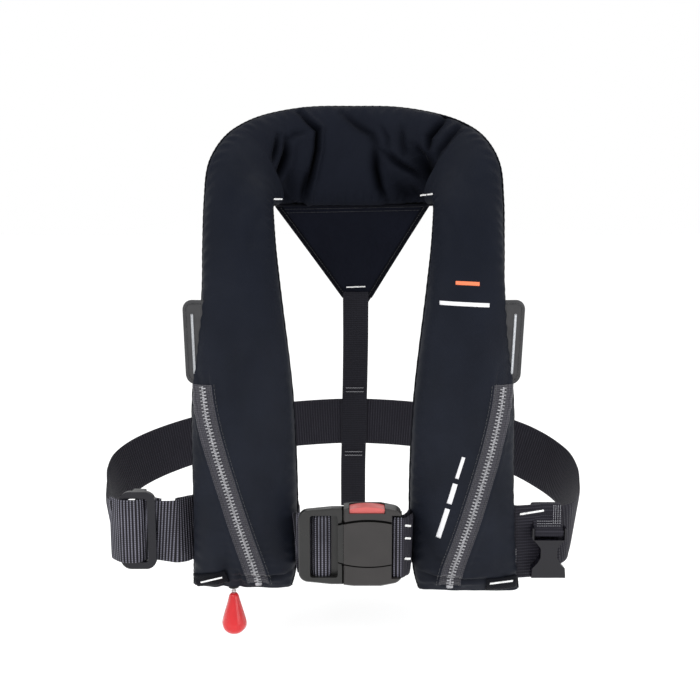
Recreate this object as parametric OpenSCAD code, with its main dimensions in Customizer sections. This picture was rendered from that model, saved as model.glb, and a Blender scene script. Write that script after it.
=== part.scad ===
// Inflatable life jacket, worn upright: a horseshoe cover that hides the folded bladder and its inflator,
// a back yoke with a strap, a waist belt with a push-button buckle, and a firing toggle.
// Frame: +X to the wearer's left, +Y to the wearer's back, +Z up. The origin is the middle of the neck opening.

/* [Cover] */
// Thickness of the cover fabric with its lining
cover_t = 1.6; // [1.2:0.1:1.8]
// Squareness of the padded cross-section, 2 is an ellipse
padding_power = 2.4; // [2.2:0.1:2.8]
// Width of the zip's row of teeth
zip_teeth_w = 6.5; // [5:0.5:7.5]
// Distance from one zip tooth to the next
zip_pitch = 3.4; // [3:0.2:5]

/* [Webbing] */
// Width of the waist belt
belt_w = 50; // [46:1:50]
// Thickness of all webbing
web_t = 1.8; // [1.4:0.1:1.8]
// Width of the back strap
strap_w = 27; // [25:1:30]
// Width of the crotch strap's webbing
crotch_web_w = 25; // [22:1:25]

/* [Buckle] */
// Height of the buckle's socket half
socket_h = 67; // [65:1:68]
// Height of the buckle's tongue half
frame_h = 61; // [60:1:62]
// Depth of the socket housing, front to back
socket_d = 19; // [18:0.5:20]
// Travel of the red release button
button_travel = 3; // [2:0.5:3]

/* [Inflator] */
// Radius of the gas cylinder
cylinder_r = 17.5; // [16:0.5:17.5]
// Length of the gas cylinder's barrel with its dome
cylinder_l = 105; // [95:5:110]
// Largest radius of the pull toggle
toggle_r = 10.5; // [10:0.5:12]
// Length of the pull toggle
toggle_l = 37; // [36:1:42]

/* [Hidden] */
$fn = 40;

gap = 0.3;                 // clearance between soft pieces that lie on each other
black_cloth = "#23262c";
web_colour = "#1d1b22";
plastic = "#3a3a3a";

// ---------------------------------------------------------------- curves and sweeps

function unit(v) = v / norm(v);

function catmull(a, b, c, d, f) =
    0.5 * (2 * b + (c - a) * f + (2 * a - 5 * b + 4 * c - d) * f * f + (3 * b - a - 3 * c + d) * f * f * f);

// The value at position t in a list of rows, smooth from row to row
function along(rows, t) =
    let (last = len(rows) - 1, u = min(max(t, 0), last), i = min(floor(u), last - 1))
    catmull(rows[max(i - 1, 0)], rows[i], rows[i + 1], rows[min(i + 2, last)], u - i);

function tangent(rows, t) = unit(along(rows, t + 0.05) - along(rows, t - 0.05));

// A solid through rings of points, each ring running right-handed about the direction of travel
module skin(rings) {
    m = len(rings[0]);
    n = len(rings);
    sides = [for (i = [0:n - 2], j = [0:m - 1])
        let (a = i * m + j, b = i * m + (j + 1) % m)
        each [[a, a + m, b + m], [a, b + m, b]]];
    // each end is a band of quads between the first and second half of its ring
    ends = [for (j = [0:m / 2 - 2])
        let (a = j, b = j + 1, c = m - 2 - j, d = m - 1 - j, e = (n - 1) * m)
        each [[a, b, c], [a, c, d], [e + a, e + c, e + b], [e + a, e + d, e + c]]];
    polyhedron([for (r = rings) each r], concat(sides, ends));
}

// The four corners of a flat web at p, running along t, with its width along across
function web_ring(p, t, across, width, thick) =
    let (w = unit(across - (across * t) * t), n = cross(t, w))
    [p + w * width / 2 - n * thick / 2, p + w * width / 2 + n * thick / 2,
     p - w * width / 2 + n * thick / 2, p - w * width / 2 - n * thick / 2];

// A flat web along a route; flare tips its upper edge outwards, in proportion to x
module web(route, width, across = [0, 0, 1], steps = 2, thick = web_t, flare = 0) {
    last = len(route) - 1;
    skin([for (k = [0:last * steps])
        let (p = along(route, k / steps))
        web_ring(p, tangent(route, k / steps), across + [p.x * flare, 0, 0], width, thick)]);
}

// A wire of radius r wound round the Z axis, from z = 0 to z = height
module coil(radius, height, turns, r) {
    per_turn = 12;
    last = turns * per_turn;
    centre = function (k) [radius * cos(k * 360 / per_turn), radius * sin(k * 360 / per_turn), height * k / last];
    skin([for (k = [0:last])
        let (p = centre(k), t = unit(centre(k + 0.5) - centre(k - 0.5)), out = unit([p.x, p.y, 0]), up = cross(t, out))
        [for (a = [0:60:300]) p + r * (cos(a) * out + sin(a) * up)]]);
}

module rounded_rect(w, h, r) {
    square([w - 2 * r, h], center = true);
    square([w, h - 2 * r], center = true);
    for (sx = [-1, 1], sy = [-1, 1])
        translate([sx * (w / 2 - r), sy * (h / 2 - r)]) circle(r);
}

// A plate drawn in the XZ plane at [x, z], from y0 (front) to y1 (back)
module plate(x, z, y0, y1) {
    translate([x, y1, z]) rotate([90, 0, 0]) linear_extrude(y1 - y0) children();
}

// ---------------------------------------------------------------- horseshoe cover

// One row per station of the wearer's left half, from the hem to the middle of the collar:
// inner edge x, y, z, outer edge x, y, z, depth of padding in front and behind
half_stations = [
    [55, -100, -350, 142, -100, -350, 5, 5],
    [51, -100, -326, 140, -100, -326, 19, 15],
    [49, -100, -270, 138, -100, -270, 24, 20],
    [52, -100, -182, 137, -100, -182, 24, 20],
    [62, -89, -97, 129, -89, -97, 22, 18],
    [68, -70, -55, 130, -70, -52, 21, 17],
    [72, -45, -24, 132, -47, -12, 20, 16],
    [74, -20, -16, 130, -32, 20, 19, 15],
    [74, 4, -15, 120, -12, 44, 19, 14],
    [70, 24, -15, 104, 10, 60, 18, 14],
    [56, 36, -15, 80, 34, 72, 17, 14],
    [30, 43, -15, 43, 58, 81, 17, 14],
    [0, 45, -15, 0, 68, 83, 17, 14]];
collar_middle = len(half_stations) - 1;
shoulder = 8.5;            // station where the lobe cover ends and the collar cover starts
hem_z = -350;

function flip(row) = [-row[0], row[1], row[2], -row[3], row[4], row[5], row[6], row[7]];
stations = concat([for (row = half_stations) flip(row)],
    [for (i = [collar_middle - 1:-1:0]) half_stations[i]]);

function inner_edge(t) = let (k = along(stations, t)) [k[0], k[1], k[2]];
function outer_edge(t) = let (k = along(stations, t)) [k[3], k[4], k[5]];
function middle(t) = (inner_edge(t) + outer_edge(t)) / 2;
function across_of(t) = unit(outer_edge(t) - inner_edge(t));
function half_width(t) = norm(outer_edge(t) - inner_edge(t)) / 2;
function travel(t) = let (d = 0.05, a = max(t - d, 0), b = min(t + d, 2 * collar_middle)) unit(middle(b) - middle(a));
function outward(t) = unit(cross(travel(t), across_of(t)));
function depth(t, side) = along(stations, t)[side > 0 ? 6 : 7];

function bulge(v) = pow(max(0, 1 - pow(abs(v), padding_power)), 1 / padding_power);

// How far the hollow has opened at t: the hem itself is solid
function hollow(t) = min(1, min(t, 2 * collar_middle - t) / 0.12);

// The padded half section at t, side 1 in front and -1 behind: its outer arc, then its inner arc back again
arc_steps = 9;
function half_ring(t, side) =
    let (c = middle(t), w = across_of(t), n = outward(t), half = half_width(t), deep = depth(t, side),
        base = gap / 2, room = hollow(t),
        at = function (a, inset, open)
            c + w * cos(a) * (half - inset)
                + n * side * (base + (deep - base - inset) * open * bulge(cos(a))))
    let (start = side > 0 ? 0 : 180)
    concat([for (k = [0:arc_steps]) at(start + k * 180 / arc_steps, 0, 1)],
        [for (k = [arc_steps:-1:0]) at(start + k * 180 / arc_steps, cover_t, room)]);

// A shell of cover fabric between two stations, closed at the hem and open towards the collar
module cover_shell(t0, t1, side, steps) {
    difference() {
        skin([for (k = [0:steps]) half_ring(t0 + (t1 - t0) * k / steps, side)]);
        lanyard_hole();
    }
}

lanyard_x = -105.5;
lanyard_r = 1.5;
seam_y = -100;
module lanyard_hole() {
    translate([lanyard_x, seam_y, hem_z - 5]) cylinder(r = 3.6, h = 20);
}

end_gap = 0.01;            // keeps the lobe covers off the collar cover
right_end = shoulder - end_gap;
left_start = 2 * collar_middle - shoulder + end_gap;
hem_end = 2 * collar_middle;

module right_lobe_cover() { color(black_cloth) cover_shell(0, right_end, 1, 26); }
module right_lobe_lining() { color("#15161a") cover_shell(0, right_end, -1, 26); }
module left_lobe_cover() { color(black_cloth) cover_shell(left_start, hem_end, 1, 26); }
module left_lobe_lining() { color("#15161a") cover_shell(left_start, hem_end, -1, 26); }
module collar_cover() { color("#1b1c22") cover_shell(shoulder, left_start - end_gap, 1, 16); }
module collar_lining() { color("#15161a") cover_shell(shoulder, left_start - end_gap, -1, 16); }

// The folded bladder: a full-width fold above, and a narrow fold beside the inflator and the oral tube below
bladder_low = 0.55;        // station where the fold ends near each hem
function fold_from(t) = let (s = min(t, hem_end - t)) s < 4.2 ? 0.7 : s < 5 ? 0.7 - (s - 4.2) * 0.6 / 0.8 : 0.1;
function bladder_ring(t) =
    let (a = middle(t) + across_of(t) * half_width(t) * (2 * fold_from(t) - 1),
        b = middle(t) + across_of(t) * half_width(t) * 0.82, n = outward(t),
        front = min(depth(t, 1) - cover_t, 20) * 0.6, back = (depth(t, -1) - cover_t) * 0.42)
    [b - n * back, b + n * front * 0.6, a * 0.3 + b * 0.7 + n * front, a * 0.7 + b * 0.3 + n * front,
     a + n * front * 0.8, a - n * back];
module bladder() {
    steps = 56;
    color("gold")
        skin([for (k = [0:steps]) bladder_ring(bladder_low + (hem_end - 2 * bladder_low) * k / steps)]);
}

// ---------------------------------------------------------------- zips, tabs and tacks on the cover

// Where the zip lies across the front, 0 at the inner edge and 1 at the outer edge, by station from the hem
zip_rows = [[0.30], [0.365], [0.585], [0.85], [1.0]];
zip_low = 0.35;
zip_high = 3.12;
function zip_at(s) = along(zip_rows, s)[0];
function station(s, side) = side < 0 ? s : hem_end - s;
function on_front(s, side, f, lift) =
    let (t = station(s, side), v = min(max(2 * f - 1, -1), 1), slope = 0.6 * pow(abs(v), 4))
    middle(t) + across_of(t) * (half_width(t) * v + sign(v) * slope * lift)
        + outward(t) * (depth(t, 1) * bulge(v) + lift);

// One ring of a strip that lies on a lobe: its face and its back, three points each, width in millimetres
function strip_ring(s, side, f, width, lift, thick) =
    let (df = width / 4 / half_width(station(s, side)),
        ring = [for (q = [-1, 0, 1]) on_front(s, side, f + q * df, lift + thick),
            for (q = [1, 0, -1]) on_front(s, side, f + q * df, lift)])
    side < 0 ? [for (j = [5:-1:0]) ring[j]] : ring;

// A strip along a lobe from station s0 to s1; centre gives its place across the front, or -1 to follow the zip
module front_strip(side, s0, s1, centre, width, lift, thick, steps) {
    skin([for (k = [0:steps])
        let (s = s0 + (s1 - s0) * k / steps)
        strip_ring(s, side, centre < 0 ? zip_at(s) : centre, width, lift, thick)]);
}

zip_tape_w = 19;
zip_tape_t = 0.7;
zip_lift = 1.3;
module zip_tape(side) {
    color("#2b2a30") front_strip(side, zip_low, zip_high, -1, zip_tape_w, zip_lift, zip_tape_t, 22);
}
module right_zip_tape() { zip_tape(-1); }
module left_zip_tape() { zip_tape(1); }

// Teeth as one block per tooth, set across the zip
teeth_lift = zip_lift + zip_tape_t + 1.2;
module zip_teeth(side) {
    count = floor(170 / zip_pitch);
    color("#9a9aa0")
        for (k = [0:count - 1]) {
            s = zip_low + 0.08 + (zip_high - zip_low - 0.16) * k / (count - 1);
            p = on_front(s, side, zip_at(s), teeth_lift);
            q = on_front(s + 0.05, side, zip_at(s + 0.05), teeth_lift);
            lean = atan2(q.x - p.x, q.z - p.z);
            face = on_front(s, side, zip_at(s) + 0.04, teeth_lift) - on_front(s, side, zip_at(s) - 0.04, teeth_lift);
            translate(p) rotate([0, lean, 0]) rotate([0, 0, atan2(face.y, abs(face.x)) * sign(face.x)])
                cube([zip_teeth_w, 1.4, zip_pitch * 0.5], center = true);
        }
}
module right_zip_teeth() { zip_teeth(-1); }
module left_zip_teeth() { zip_teeth(1); }

// The zips' sliders are parked behind the side tabs
module zip_sliders() {
    color("dimgray")
        for (side = [-1, 1])
            translate([side * 140, -90.5, -150]) {
                plate(0, 0, -1.5, 1.5) rounded_rect(7, 11, 2);
                plate(0, 8.5, -0.6, 0.6) rounded_rect(4, 12, 1.5);
            }
}

tab_x = 134.6;
tab_w = 18;
tab_h = 68;
tab_mid = [0, -94.5, -131];
tab_tilt = -7.8;           // the tab leans with the edge of the lobe
module on_tab() { translate(tab_mid) rotate([tab_tilt, 0, 0]) children(); }
module side_tab(side) {
    color("#4a4a4c")
        on_tab() plate(side * tab_x, 0, -1.2, 1.2)
            difference() {
                rounded_rect(tab_w, tab_h, 6);
                mirror([side < 0 ? 1 : 0, 0]) polygon([[-20, 40], [-3.6, 40], [3.6, -40], [-20, -40]]);
                translate([side * 4.9, -2]) rounded_rect(2.4, 50, 1.1);
            }
}
module right_side_tab() { side_tab(-1); }
module left_side_tab() { side_tab(1); }
module side_tab_reflectors() {
    color("silver")
        on_tab()
            for (side = [-1, 1])
                plate(side * (tab_x + 4.9), -2, -1.6, 1.2) rounded_rect(2.2, 49.6, 1);
}

// Sewn web tabs on the outer corners of the hems
hem_tab_w = 26;
hem_tab_f = 0.79;          // their place across the front
hem_tab_lift = 1;
module hem_tab(side) {
    color(web_colour) front_strip(side, 0.06, 0.56, hem_tab_f, hem_tab_w, hem_tab_lift, web_t, 5);
}
module right_hem_tab() { hem_tab(-1); }
module left_hem_tab() { hem_tab(1); }

// White bar tacks: on the hem tabs, the yoke, the belt's sewn end and the crotch strap's loop
module tack(p, length, tall = 1.6, turn = 0) {
    translate(p) rotate([0, 0, turn]) cube([length, 0.8, tall], center = true);
}
module bar_tacks() {
    color("whitesmoke") {
        for (side = [-1, 1])
            front_strip(side, 0.27, 0.35, hem_tab_f, 18, hem_tab_lift + web_t + 0.3, 0.8, 1);
        tack([3, 89.6, -103], 20);
        tack([-69, 44.4, -19], 7);
        tack([66, 44.4, -19], 7);
        tack([crotch_x - 8, -107.4, -276], 20);
        for (z = [-279, -292, -308])
            tack([belt_front_x + 3, -120, z], 6, 1.6, 90);
    }
}

// ---------------------------------------------------------------- yoke and back strap

yoke_top = [0, 46.5, -15.8];
yoke_bottom = [4.5, 94, -110];
yoke_wide = 150;
yoke_narrow = 30;
module yoke() {
    rows = [for (k = [0:6])
        let (f = k / 6, sag = 4 * sin(f * 180))
        [yoke_top + (yoke_bottom - yoke_top) * f + [0, sag, 0], yoke_wide + (yoke_narrow - yoke_wide) * f]];
    t = unit(yoke_bottom - yoke_top);
    color("#16171c") skin([for (r = rows) web_ring(r[0], t, [1, 0, 0], r[1], 1.2)]);
}

// Folded tape that edges the yoke's two slanting sides
module yoke_binding() {
    color("#101014")
        for (side = [-1, 1]) {
            route = [for (k = [0:6])
                let (f = k / 6, half = (yoke_wide + (yoke_narrow - yoke_wide) * f) / 2)
                yoke_top + (yoke_bottom - yoke_top) * f + [side * (half + gap + 3.5), 4 * sin(f * 180), 0]];
            web(route, 3, [side, 0, 0.4], 1, 2.2);
        }
}

strap_route = [[3, 91, -108], [3, 95.5, -125], [3, 101, -160], [2.5, 107, -200], [2, 110, -225], [1.5, 110.4, -250],
    [1, 110.6, -275], [0.5, 112, -300], [0.5, 114, -344]];
module back_strap() { color(web_colour) web(strap_route, strap_w, [1, 0, 0], 1); }

// The patch behind the strap that makes the tunnel for the belt
tunnel_route = [[2.5, 109.5, -205], [2.2, 112.2, -213], [2, 115.6, -222], [1.5, 116, -248], [1, 115.8, -274],
    [0.8, 114.4, -283], [0.6, 114.6, -292]];
module strap_tunnel() { color(web_colour) web(tunnel_route, strap_w, [1, 0, 0], 1); }

// ---------------------------------------------------------------- waist belt

buckle_y = -140;           // mid-plane of both buckle halves
buckle_z = -296;
socket_bar_x = 37.5;
bar_r = 2.4;
belt_front_x = 46;         // where the belt turns back past the inner edge of a lobe
slider_x = -186;
slider_z = -295;
belt_straight_y = -105;    // the belt runs straight along X through the slider

loop_r = bar_r + 2 * gap + web_t / 2;
sewn_end = [[44.2, -121, buckle_z - 2], [42.6, -130, buckle_z - 2], [40.4, -134.8, buckle_z - 2]];
around_bar = [for (a = [80:33:278]) [socket_bar_x + loop_r * cos(a), buckle_y + loop_r * sin(a), buckle_z - 2]];
belt_ring = [
    [41.5, -143, buckle_z - 2], [44.8, -136, buckle_z - 2], [46.6, -124, buckle_z - 2],
    [belt_front_x, -108, buckle_z - 2], [45.6, -97, buckle_z - 2], [47, -86, -299], [54, -78.5, -300], [66, -76, -301],
    [95, -75.5, -303], [122, -76, -305], [143, -83, -307], [160, -91, -307], [176, -95, -306], [190, -88, -303],
    [199, -70, -299], [206, -45, -294], [211, -16, -288], [210, 16, -283], [199, 46, -277],
    [178, 69, -269], [150, 86, -262], [110, 100, -254], [60, 110, -250], [20, 113, -248], [0, 113, -248],
    [-20, 113, -248], [-60, 110, -250], [-110, 100, -253], [-150, 83, -257], [-186, 57, -263], [-213, 28, -270],
    [-227, 0, -278], [-228, -28, -285], [-222, -56, -291], [-216, -82, -294], [-212.5, -95, -295],
    [-208.4, -103.4, -295], [-202.5, belt_straight_y, -295], [-194, belt_straight_y, -295],
    [-186, belt_straight_y, -295], [-174, belt_straight_y, -295], [-160, belt_straight_y, -295.5],
    [-152.5, -103, -296], [-145.5, -96, -296.5], [-139.5, -88, -296.8], [-132, -81.5, -297], [-122, -77.6, -297],
    [-106, -75.6, -297], [-68, -75.5, -297], [-54, -78, -297], [-46.5, -86, -297],
    [-45.2, -97, -297], [-45, -110, -297], [-45, -128, -297]];
module waist_belt() {
    color(web_colour) web(concat(sewn_end, around_bar, belt_ring), belt_w, steps = 2, flare = 0.0007);
}

// The second layer of the belt, from the buckle's frame back to the slider
return_route = [[-42, -127, -297], [-42, -110, -297], [-42, -97, -297], [-42.6, -84, -297], [-50, -74, -297],
    [-66, -72, -297], [-106, -72, -297], [-122.8, -74.2, -297], [-133.8, -78.6, -297], [-141.8, -85.8, -296.8],
    [-147.8, -93.6, -296.5], [-154.2, -100, -296], [-160, -101.8, -295.5], [-165, -101.8, -295]];
module belt_return() { color(web_colour) web(return_route, belt_w, steps = 2, flare = 0.0007); }

// A round-ended flat bar, width along X, standing along Z
module flat_bar(x, y, z, width, thick, length) {
    translate([x, y, z - length / 2]) {
        linear_extrude(length) square([width - thick, thick], center = true);
        for (s = [-1, 1])
            translate([s * (width - thick) / 2, 0, 0]) cylinder(d = thick, h = length);
    }
}

// A web folded round a flat bar
module bar_loop(x, y, z, width, thick, tall) {
    difference() {
        flat_bar(x, y, z, width + 2 * (web_t + gap), thick + 2 * (web_t + gap), tall);
        flat_bar(x, y, z, width + 2 * gap, thick + 2 * gap, tall + 2);
    }
}

// ---------------------------------------------------------------- main buckle

frame_x0 = -45.5;
frame_x1 = -8.4;
frame_y0 = -147;
frame_y1 = -138.2;
frame_bar_x = -25.5;
frame_bar_w = 8;
frame_bar_t = 3.6;
bar_len = belt_w + 6;
window_x0 = -36;
window_x1 = -18.6;
window_h = belt_w + 3;
tongue_x1 = 20;
tongue_h = 30;
tongue_t = 5;
notch_x = 7;
notch_w = 6;
notch_deep = 3.5;
chamfer = 1.2;

// The raised panel shared by both halves: a band between two shallow arcs
boss_x = 12;
boss_x1 = 32;
boss_half = 19;
boss_rise = 3;             // how far the band's middle stands above the buckle's
boss_r = 90;
boss_lift = 1.3;
module boss_area(x0, x1) {
    intersection() {
        translate([x0, buckle_z - 30]) square([x1 - x0, 60]);
        translate([boss_x, buckle_z + boss_rise + boss_half - boss_r]) circle(r = boss_r, $fn = 120);
        translate([boss_x, buckle_z + boss_rise - boss_half + boss_r]) circle(r = boss_r, $fn = 120);
    }
}

// Outline of the frame, taller where it meets the socket; inset shrinks it on every side
module frame_outline(inset) {
    w = frame_x1 - frame_x0;
    translate([(frame_x0 + frame_x1) / 2, buckle_z]) {
        rounded_rect(w - 2 * inset, frame_h - 2 * inset, 8 - inset);
        translate([w / 2 - 5, 0]) square([10 - 2 * inset, frame_h + 4 - 2 * inset], center = true);
    }
}

// Tongue half: a frame round the belt's window, with the tongue on its inner side
module buckle_frame() {
    color(plastic) {
        difference() {
            union() {
                hull() {
                    plate(0, 0, frame_y0 + chamfer, frame_y1 - chamfer) frame_outline(0);
                    plate(0, 0, frame_y0, frame_y1) frame_outline(chamfer);
                }
                plate(0, 0, frame_y0 - boss_lift, frame_y0 + 1) boss_area(window_x1 + 5.6, frame_x1);
            }
            plate((window_x0 + window_x1) / 2, buckle_z, frame_y0 - 1, frame_y1 + 1)
                rounded_rect(window_x1 - window_x0, window_h, 2);
            plate(window_x1 + 0.5, buckle_z, frame_y0 - 1, -140.6) rounded_rect(10, window_h, 2);
            flat_bar(frame_bar_x, buckle_y, buckle_z, frame_bar_w, frame_bar_t, bar_len);
        }
        difference() {
            plate((frame_x1 + tongue_x1) / 2 - 1, buckle_z, buckle_y - tongue_t / 2, buckle_y + tongue_t / 2)
                rounded_rect(tongue_x1 - frame_x1 + 2, tongue_h, 2);
            plate(notch_x, buckle_z - tongue_h / 2, buckle_y - 4, buckle_y + 4)
                square([notch_w, 2 * notch_deep], center = true);
        }
    }
}

module frame_web_bar() {
    color("gray") flat_bar(frame_bar_x, buckle_y, buckle_z, frame_bar_w, frame_bar_t, bar_len);
}

// The belt folded round the frame's bar, with its two layers leaving behind the outer rail
web_tail_x = -49;
module buckle_web_loop() {
    layer_y = buckle_y + frame_bar_t / 2 + gap;
    color(web_colour) {
        difference() {
            bar_loop(frame_bar_x, buckle_y, buckle_z - 1, frame_bar_w, frame_bar_t, belt_w);
            translate([frame_bar_x - 20, layer_y, buckle_z - 60]) cube([20, 10, 120]);
        }
        translate([web_tail_x, layer_y, buckle_z - 1 - belt_w / 2])
            cube([frame_bar_x - web_tail_x, 2 * web_t, belt_w]);
    }
}

socket_x0 = frame_x1 + 0.2;
socket_x1 = 40.5;
socket_y0 = buckle_y - socket_d / 2;
socket_y1 = buckle_y + socket_d / 2;
way = 0.4;                 // clearance round every sliding piece
plate_w = 12;              // the latch plate stands round the tongue
plate_low = -tongue_h / 2 - way - 4;
plate_high = tongue_h / 2 + button_travel + way + 4.2;
spring_low = plate_low - 6;
button_x = 11;
button_w = 29;
button_low = plate_high + 6;
lip_t = 1.5;               // the wall that stands in front of the button's lower edge
button_y0 = socket_y0 + boss_lift + lip_t + 0.2;
button_y1 = buckle_y + 6;
bar_half = 28.2;

module socket_outline(inset) {
    w = socket_x1 - socket_x0;
    translate([(socket_x0 + socket_x1) / 2, buckle_z]) {
        rounded_rect(w - 2 * inset, socket_h - 4 - 2 * inset, 9 - inset);
        translate([-5, 0]) square([w - 26 - 2 * inset, socket_h - 2 * inset], center = true);
        translate([-w / 4, 0]) square([w / 2 - 2 * inset, socket_h - 2 - 2 * inset], center = true);
    }
}

// What is cut from both halves of the socket: tongue way, latch and button ways, belt slot and bar bore
module socket_ways() {
    translate([socket_x0 - 1, buckle_y - tongue_t / 2 - way, buckle_z - tongue_h / 2 - way])
        cube([tongue_x1 - socket_x0 + 2, tongue_t + 2 * way, tongue_h + 2 * way]);
    translate([notch_x - plate_w / 2 - way, buckle_y - 5.4, buckle_z + spring_low])
        cube([plate_w + 2 * way, 10.8, button_low - spring_low]);
    translate([button_x - button_w / 2 - way, socket_y0 - 1, buckle_z + button_low])
        cube([button_w + 2 * way, 10, 30]);
    translate([button_x - button_w / 2 - way, button_y0 - 0.2, buckle_z + button_low - button_travel - way])
        cube([button_w + 2 * way, button_y1 + way - button_y0 + 0.2, 30]);
    translate([socket_bar_x - 6.3, -200, buckle_z - belt_w / 2 - 2]) cube([20, 100, belt_w + 4]);
    translate([socket_bar_x, buckle_y, buckle_z - bar_half]) cylinder(r = bar_r, h = 2 * bar_half);
}

module socket_front() {
    face = socket_y0 + boss_lift;
    color("#4a4848")
        difference() {
            union() {
                hull() {
                    plate(0, 0, face + chamfer, buckle_y) socket_outline(0);
                    plate(0, 0, face, buckle_y) socket_outline(chamfer);
                }
                plate(0, 0, socket_y0, face + 1) boss_area(socket_x0, boss_x1);
            }
            socket_ways();
        }
}
module socket_back() {
    color(plastic)
        difference() {
            hull() {
                plate(0, 0, buckle_y, socket_y1 - chamfer) socket_outline(0);
                plate(0, 0, buckle_y, socket_y1) socket_outline(chamfer);
            }
            socket_ways();
        }
}
module socket_web_bar() {
    color("silver") translate([socket_bar_x, buckle_y, buckle_z - bar_half]) cylinder(r = bar_r, h = 2 * bar_half);
}

// Red button across the top edge, with a foot that rests on the latch plate
button_crown = 60;
module release_button() {
    high = socket_h / 2;
    color("#e5484a") {
        intersection() {
            translate([button_x - button_w / 2, button_y0, buckle_z + button_low])
                cube([button_w, button_y1 - button_y0, high - button_low]);
            translate([button_x, button_y1 + 1, buckle_z + high - button_crown]) rotate([90, 0, 0])
                cylinder(r = button_crown, h = 20, $fn = 120);
        }
        translate([notch_x - 4, buckle_y - 4, buckle_z + plate_high + 0.1]) cube([8, 8, button_low - plate_high]);
    }
}

// Latch plate: a window round the tongue, whose lower edge enters the tongue's notch from below
module latch_plate() {
    color("darkgray")
        difference() {
            translate([notch_x - plate_w / 2, buckle_y - 5, buckle_z + plate_low])
                cube([plate_w, 10, plate_high - plate_low]);
            translate([notch_x - plate_w, buckle_y - tongue_t / 2 - way - 0.3, buckle_z + plate_low + 4])
                cube([2 * plate_w, tongue_t + 2 * way + 0.6, plate_high - plate_low - 8]);
        }
}
latch_wire = 0.4;
module latch_spring() {
    color("silver")
        translate([notch_x, buckle_y, buckle_z + spring_low + latch_wire + 0.1])
            coil(2.6, plate_low - spring_low - 2 * latch_wire - 0.3, 4, latch_wire);
}

// ---------------------------------------------------------------- belt slider and crotch strap buckle

slider_w = 31;
slider_h = 69;
module belt_slider() {
    color("#2c2a2e") {
        difference() {
            plate(slider_x, slider_z, -110.6, -106.3) rounded_rect(slider_w, slider_h, 9);
            plate(slider_x, slider_z, -112, -105) rounded_rect(17, 57, 3);
        }
        for (s = [-1, 1])
            plate(slider_x, slider_z + s * 31.2, -106.3, -98) rounded_rect(12, 5.2, 1.5);
        plate(slider_x, slider_z, -102.6, -99.4) square([7, 58], center = true);
    }
}
// The belt's sewn end, folded round the slider's middle bar
module slider_web_loop() {
    color(web_colour)
        difference() {
            flat_bar(slider_x, -101, slider_z - 3, 12.4, 2 * 1.6 + 2 * gap + 1.6, 48);
            translate([slider_x - 3.8, -102.9, slider_z - 40]) cube([7.6, 3.8, 80]);
        }
}

crotch_x = 169;
crotch_bar = [crotch_x, -107.5, -297];
crotch_w = 29.5;
crotch_end_z = -337;
crotch_bar_r = 1.8;
crotch_loop_r = crotch_bar_r + 0.08;
// The web goes round the belt, and its two ends are sewn together over the buckle's bar
crotch_route = [[0, 1.6, 0], [0, 4, 3], [0, 6.6, 8], [0, 8, 14], [0, 9, 18], [0, 13, 21], [0, 18, 19.5], [0, 21.5, 12],
    [0, 23, 0], [0, 23.2, -20], [0, 21, -36], [0, 16, -40.5], [0, 11.5, -38], [0, 9.6, -28], [0, 9.2, -14], [0, 9, 2]];
module crotch_web_loop() {
    color(web_colour) {
        difference() {
            union() {
                translate(crotch_bar - [crotch_web_w / 2, 0, 0]) rotate([0, 90, 0])
                    cylinder(r = crotch_loop_r + web_t, h = crotch_web_w);
                translate(crotch_bar) web(crotch_route, crotch_web_w, [1, 0, 0], 2);
            }
            translate(crotch_bar - [crotch_web_w, 0, 0]) rotate([0, 90, 0])
                cylinder(r = crotch_loop_r, h = 2 * crotch_web_w);
        }
    }
}

// Socket half of the crotch strap's side-release buckle, hanging from its bar
module crotch_outline() {
    half = crotch_w / 2;
    top = 4.5;
    low = crotch_end_z - crotch_bar.z;
    right = [[half, top], [half, -5], [half - 4.5, -9.5], [half - 7.6, -14], [half - 7.6, -22], [half - 4.8, -27],
        [half - 0.6, -31.5], [half, low]];
    polygon(concat(right, [for (i = [len(right) - 1:-1:0]) [-right[i].x, right[i].y]]));
}
module crotch_buckle() {
    body_y0 = -4.4;
    body_y1 = 4;
    color("#302e33")
        translate(crotch_bar) {
            difference() {
                translate([0, body_y1, 0]) rotate([90, 0, 0]) linear_extrude(body_y1 - body_y0) crotch_outline();
                translate([-crotch_web_w / 2 - 0.6, -10, -6.2]) cube([crotch_web_w + 1.2, 20, 20]);
                translate([-8, -2.2, -50]) cube([16, 4.2, 36]);
                translate([-11.5, -2.2, -50]) cube([23, 4.2, 19]);
            }
            translate([-crotch_w / 2, 0, 0]) rotate([0, 90, 0]) cylinder(r = crotch_bar_r, h = crotch_w);
        }
}

// ---------------------------------------------------------------- pull toggle and inflator

toggle_top = -355.6;
module pull_toggle() {
    belly = toggle_l - 11;
    profile = [[0, 0], [2.4, 0], [4.2, -1.4], [5, -4], [6.6, -12], [8.5, -19], [toggle_r - 0.4, 3.5 - belly],
        [toggle_r, -belly], [toggle_r - 0.8, -belly - 4.4], [toggle_r - 3.4, -belly - 8.2],
        [toggle_r - 7, -belly - 10.4], [0, -toggle_l]];
    color("#e0272b")
        translate([lanyard_x, seam_y, toggle_top]) {
            rotate_extrude() polygon(profile);
            translate([-1.2, 0, 0.6]) rotate([0, 90, 0]) cylinder(r = 1, h = 2.4);
        }
}
lanyard_l = 50;
swing_gap = 1.8;           // room for the toggle to swing below the lanyard's end
module pull_lanyard() {
    color("darkred") translate([lanyard_x, seam_y, toggle_top + swing_gap]) cylinder(r = lanyard_r, h = lanyard_l);
}
module lanyard_grommet() {
    color("black")
        translate([lanyard_x, seam_y, hem_z - 1.6])
            difference() {
                union() {
                    cylinder(r = 3.3, h = 8);
                    cylinder(r = 5, h = 1.2);
                }
                translate([0, 0, -1]) cylinder(r = lanyard_r + 0.5, h = 12);
            }
}

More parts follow.
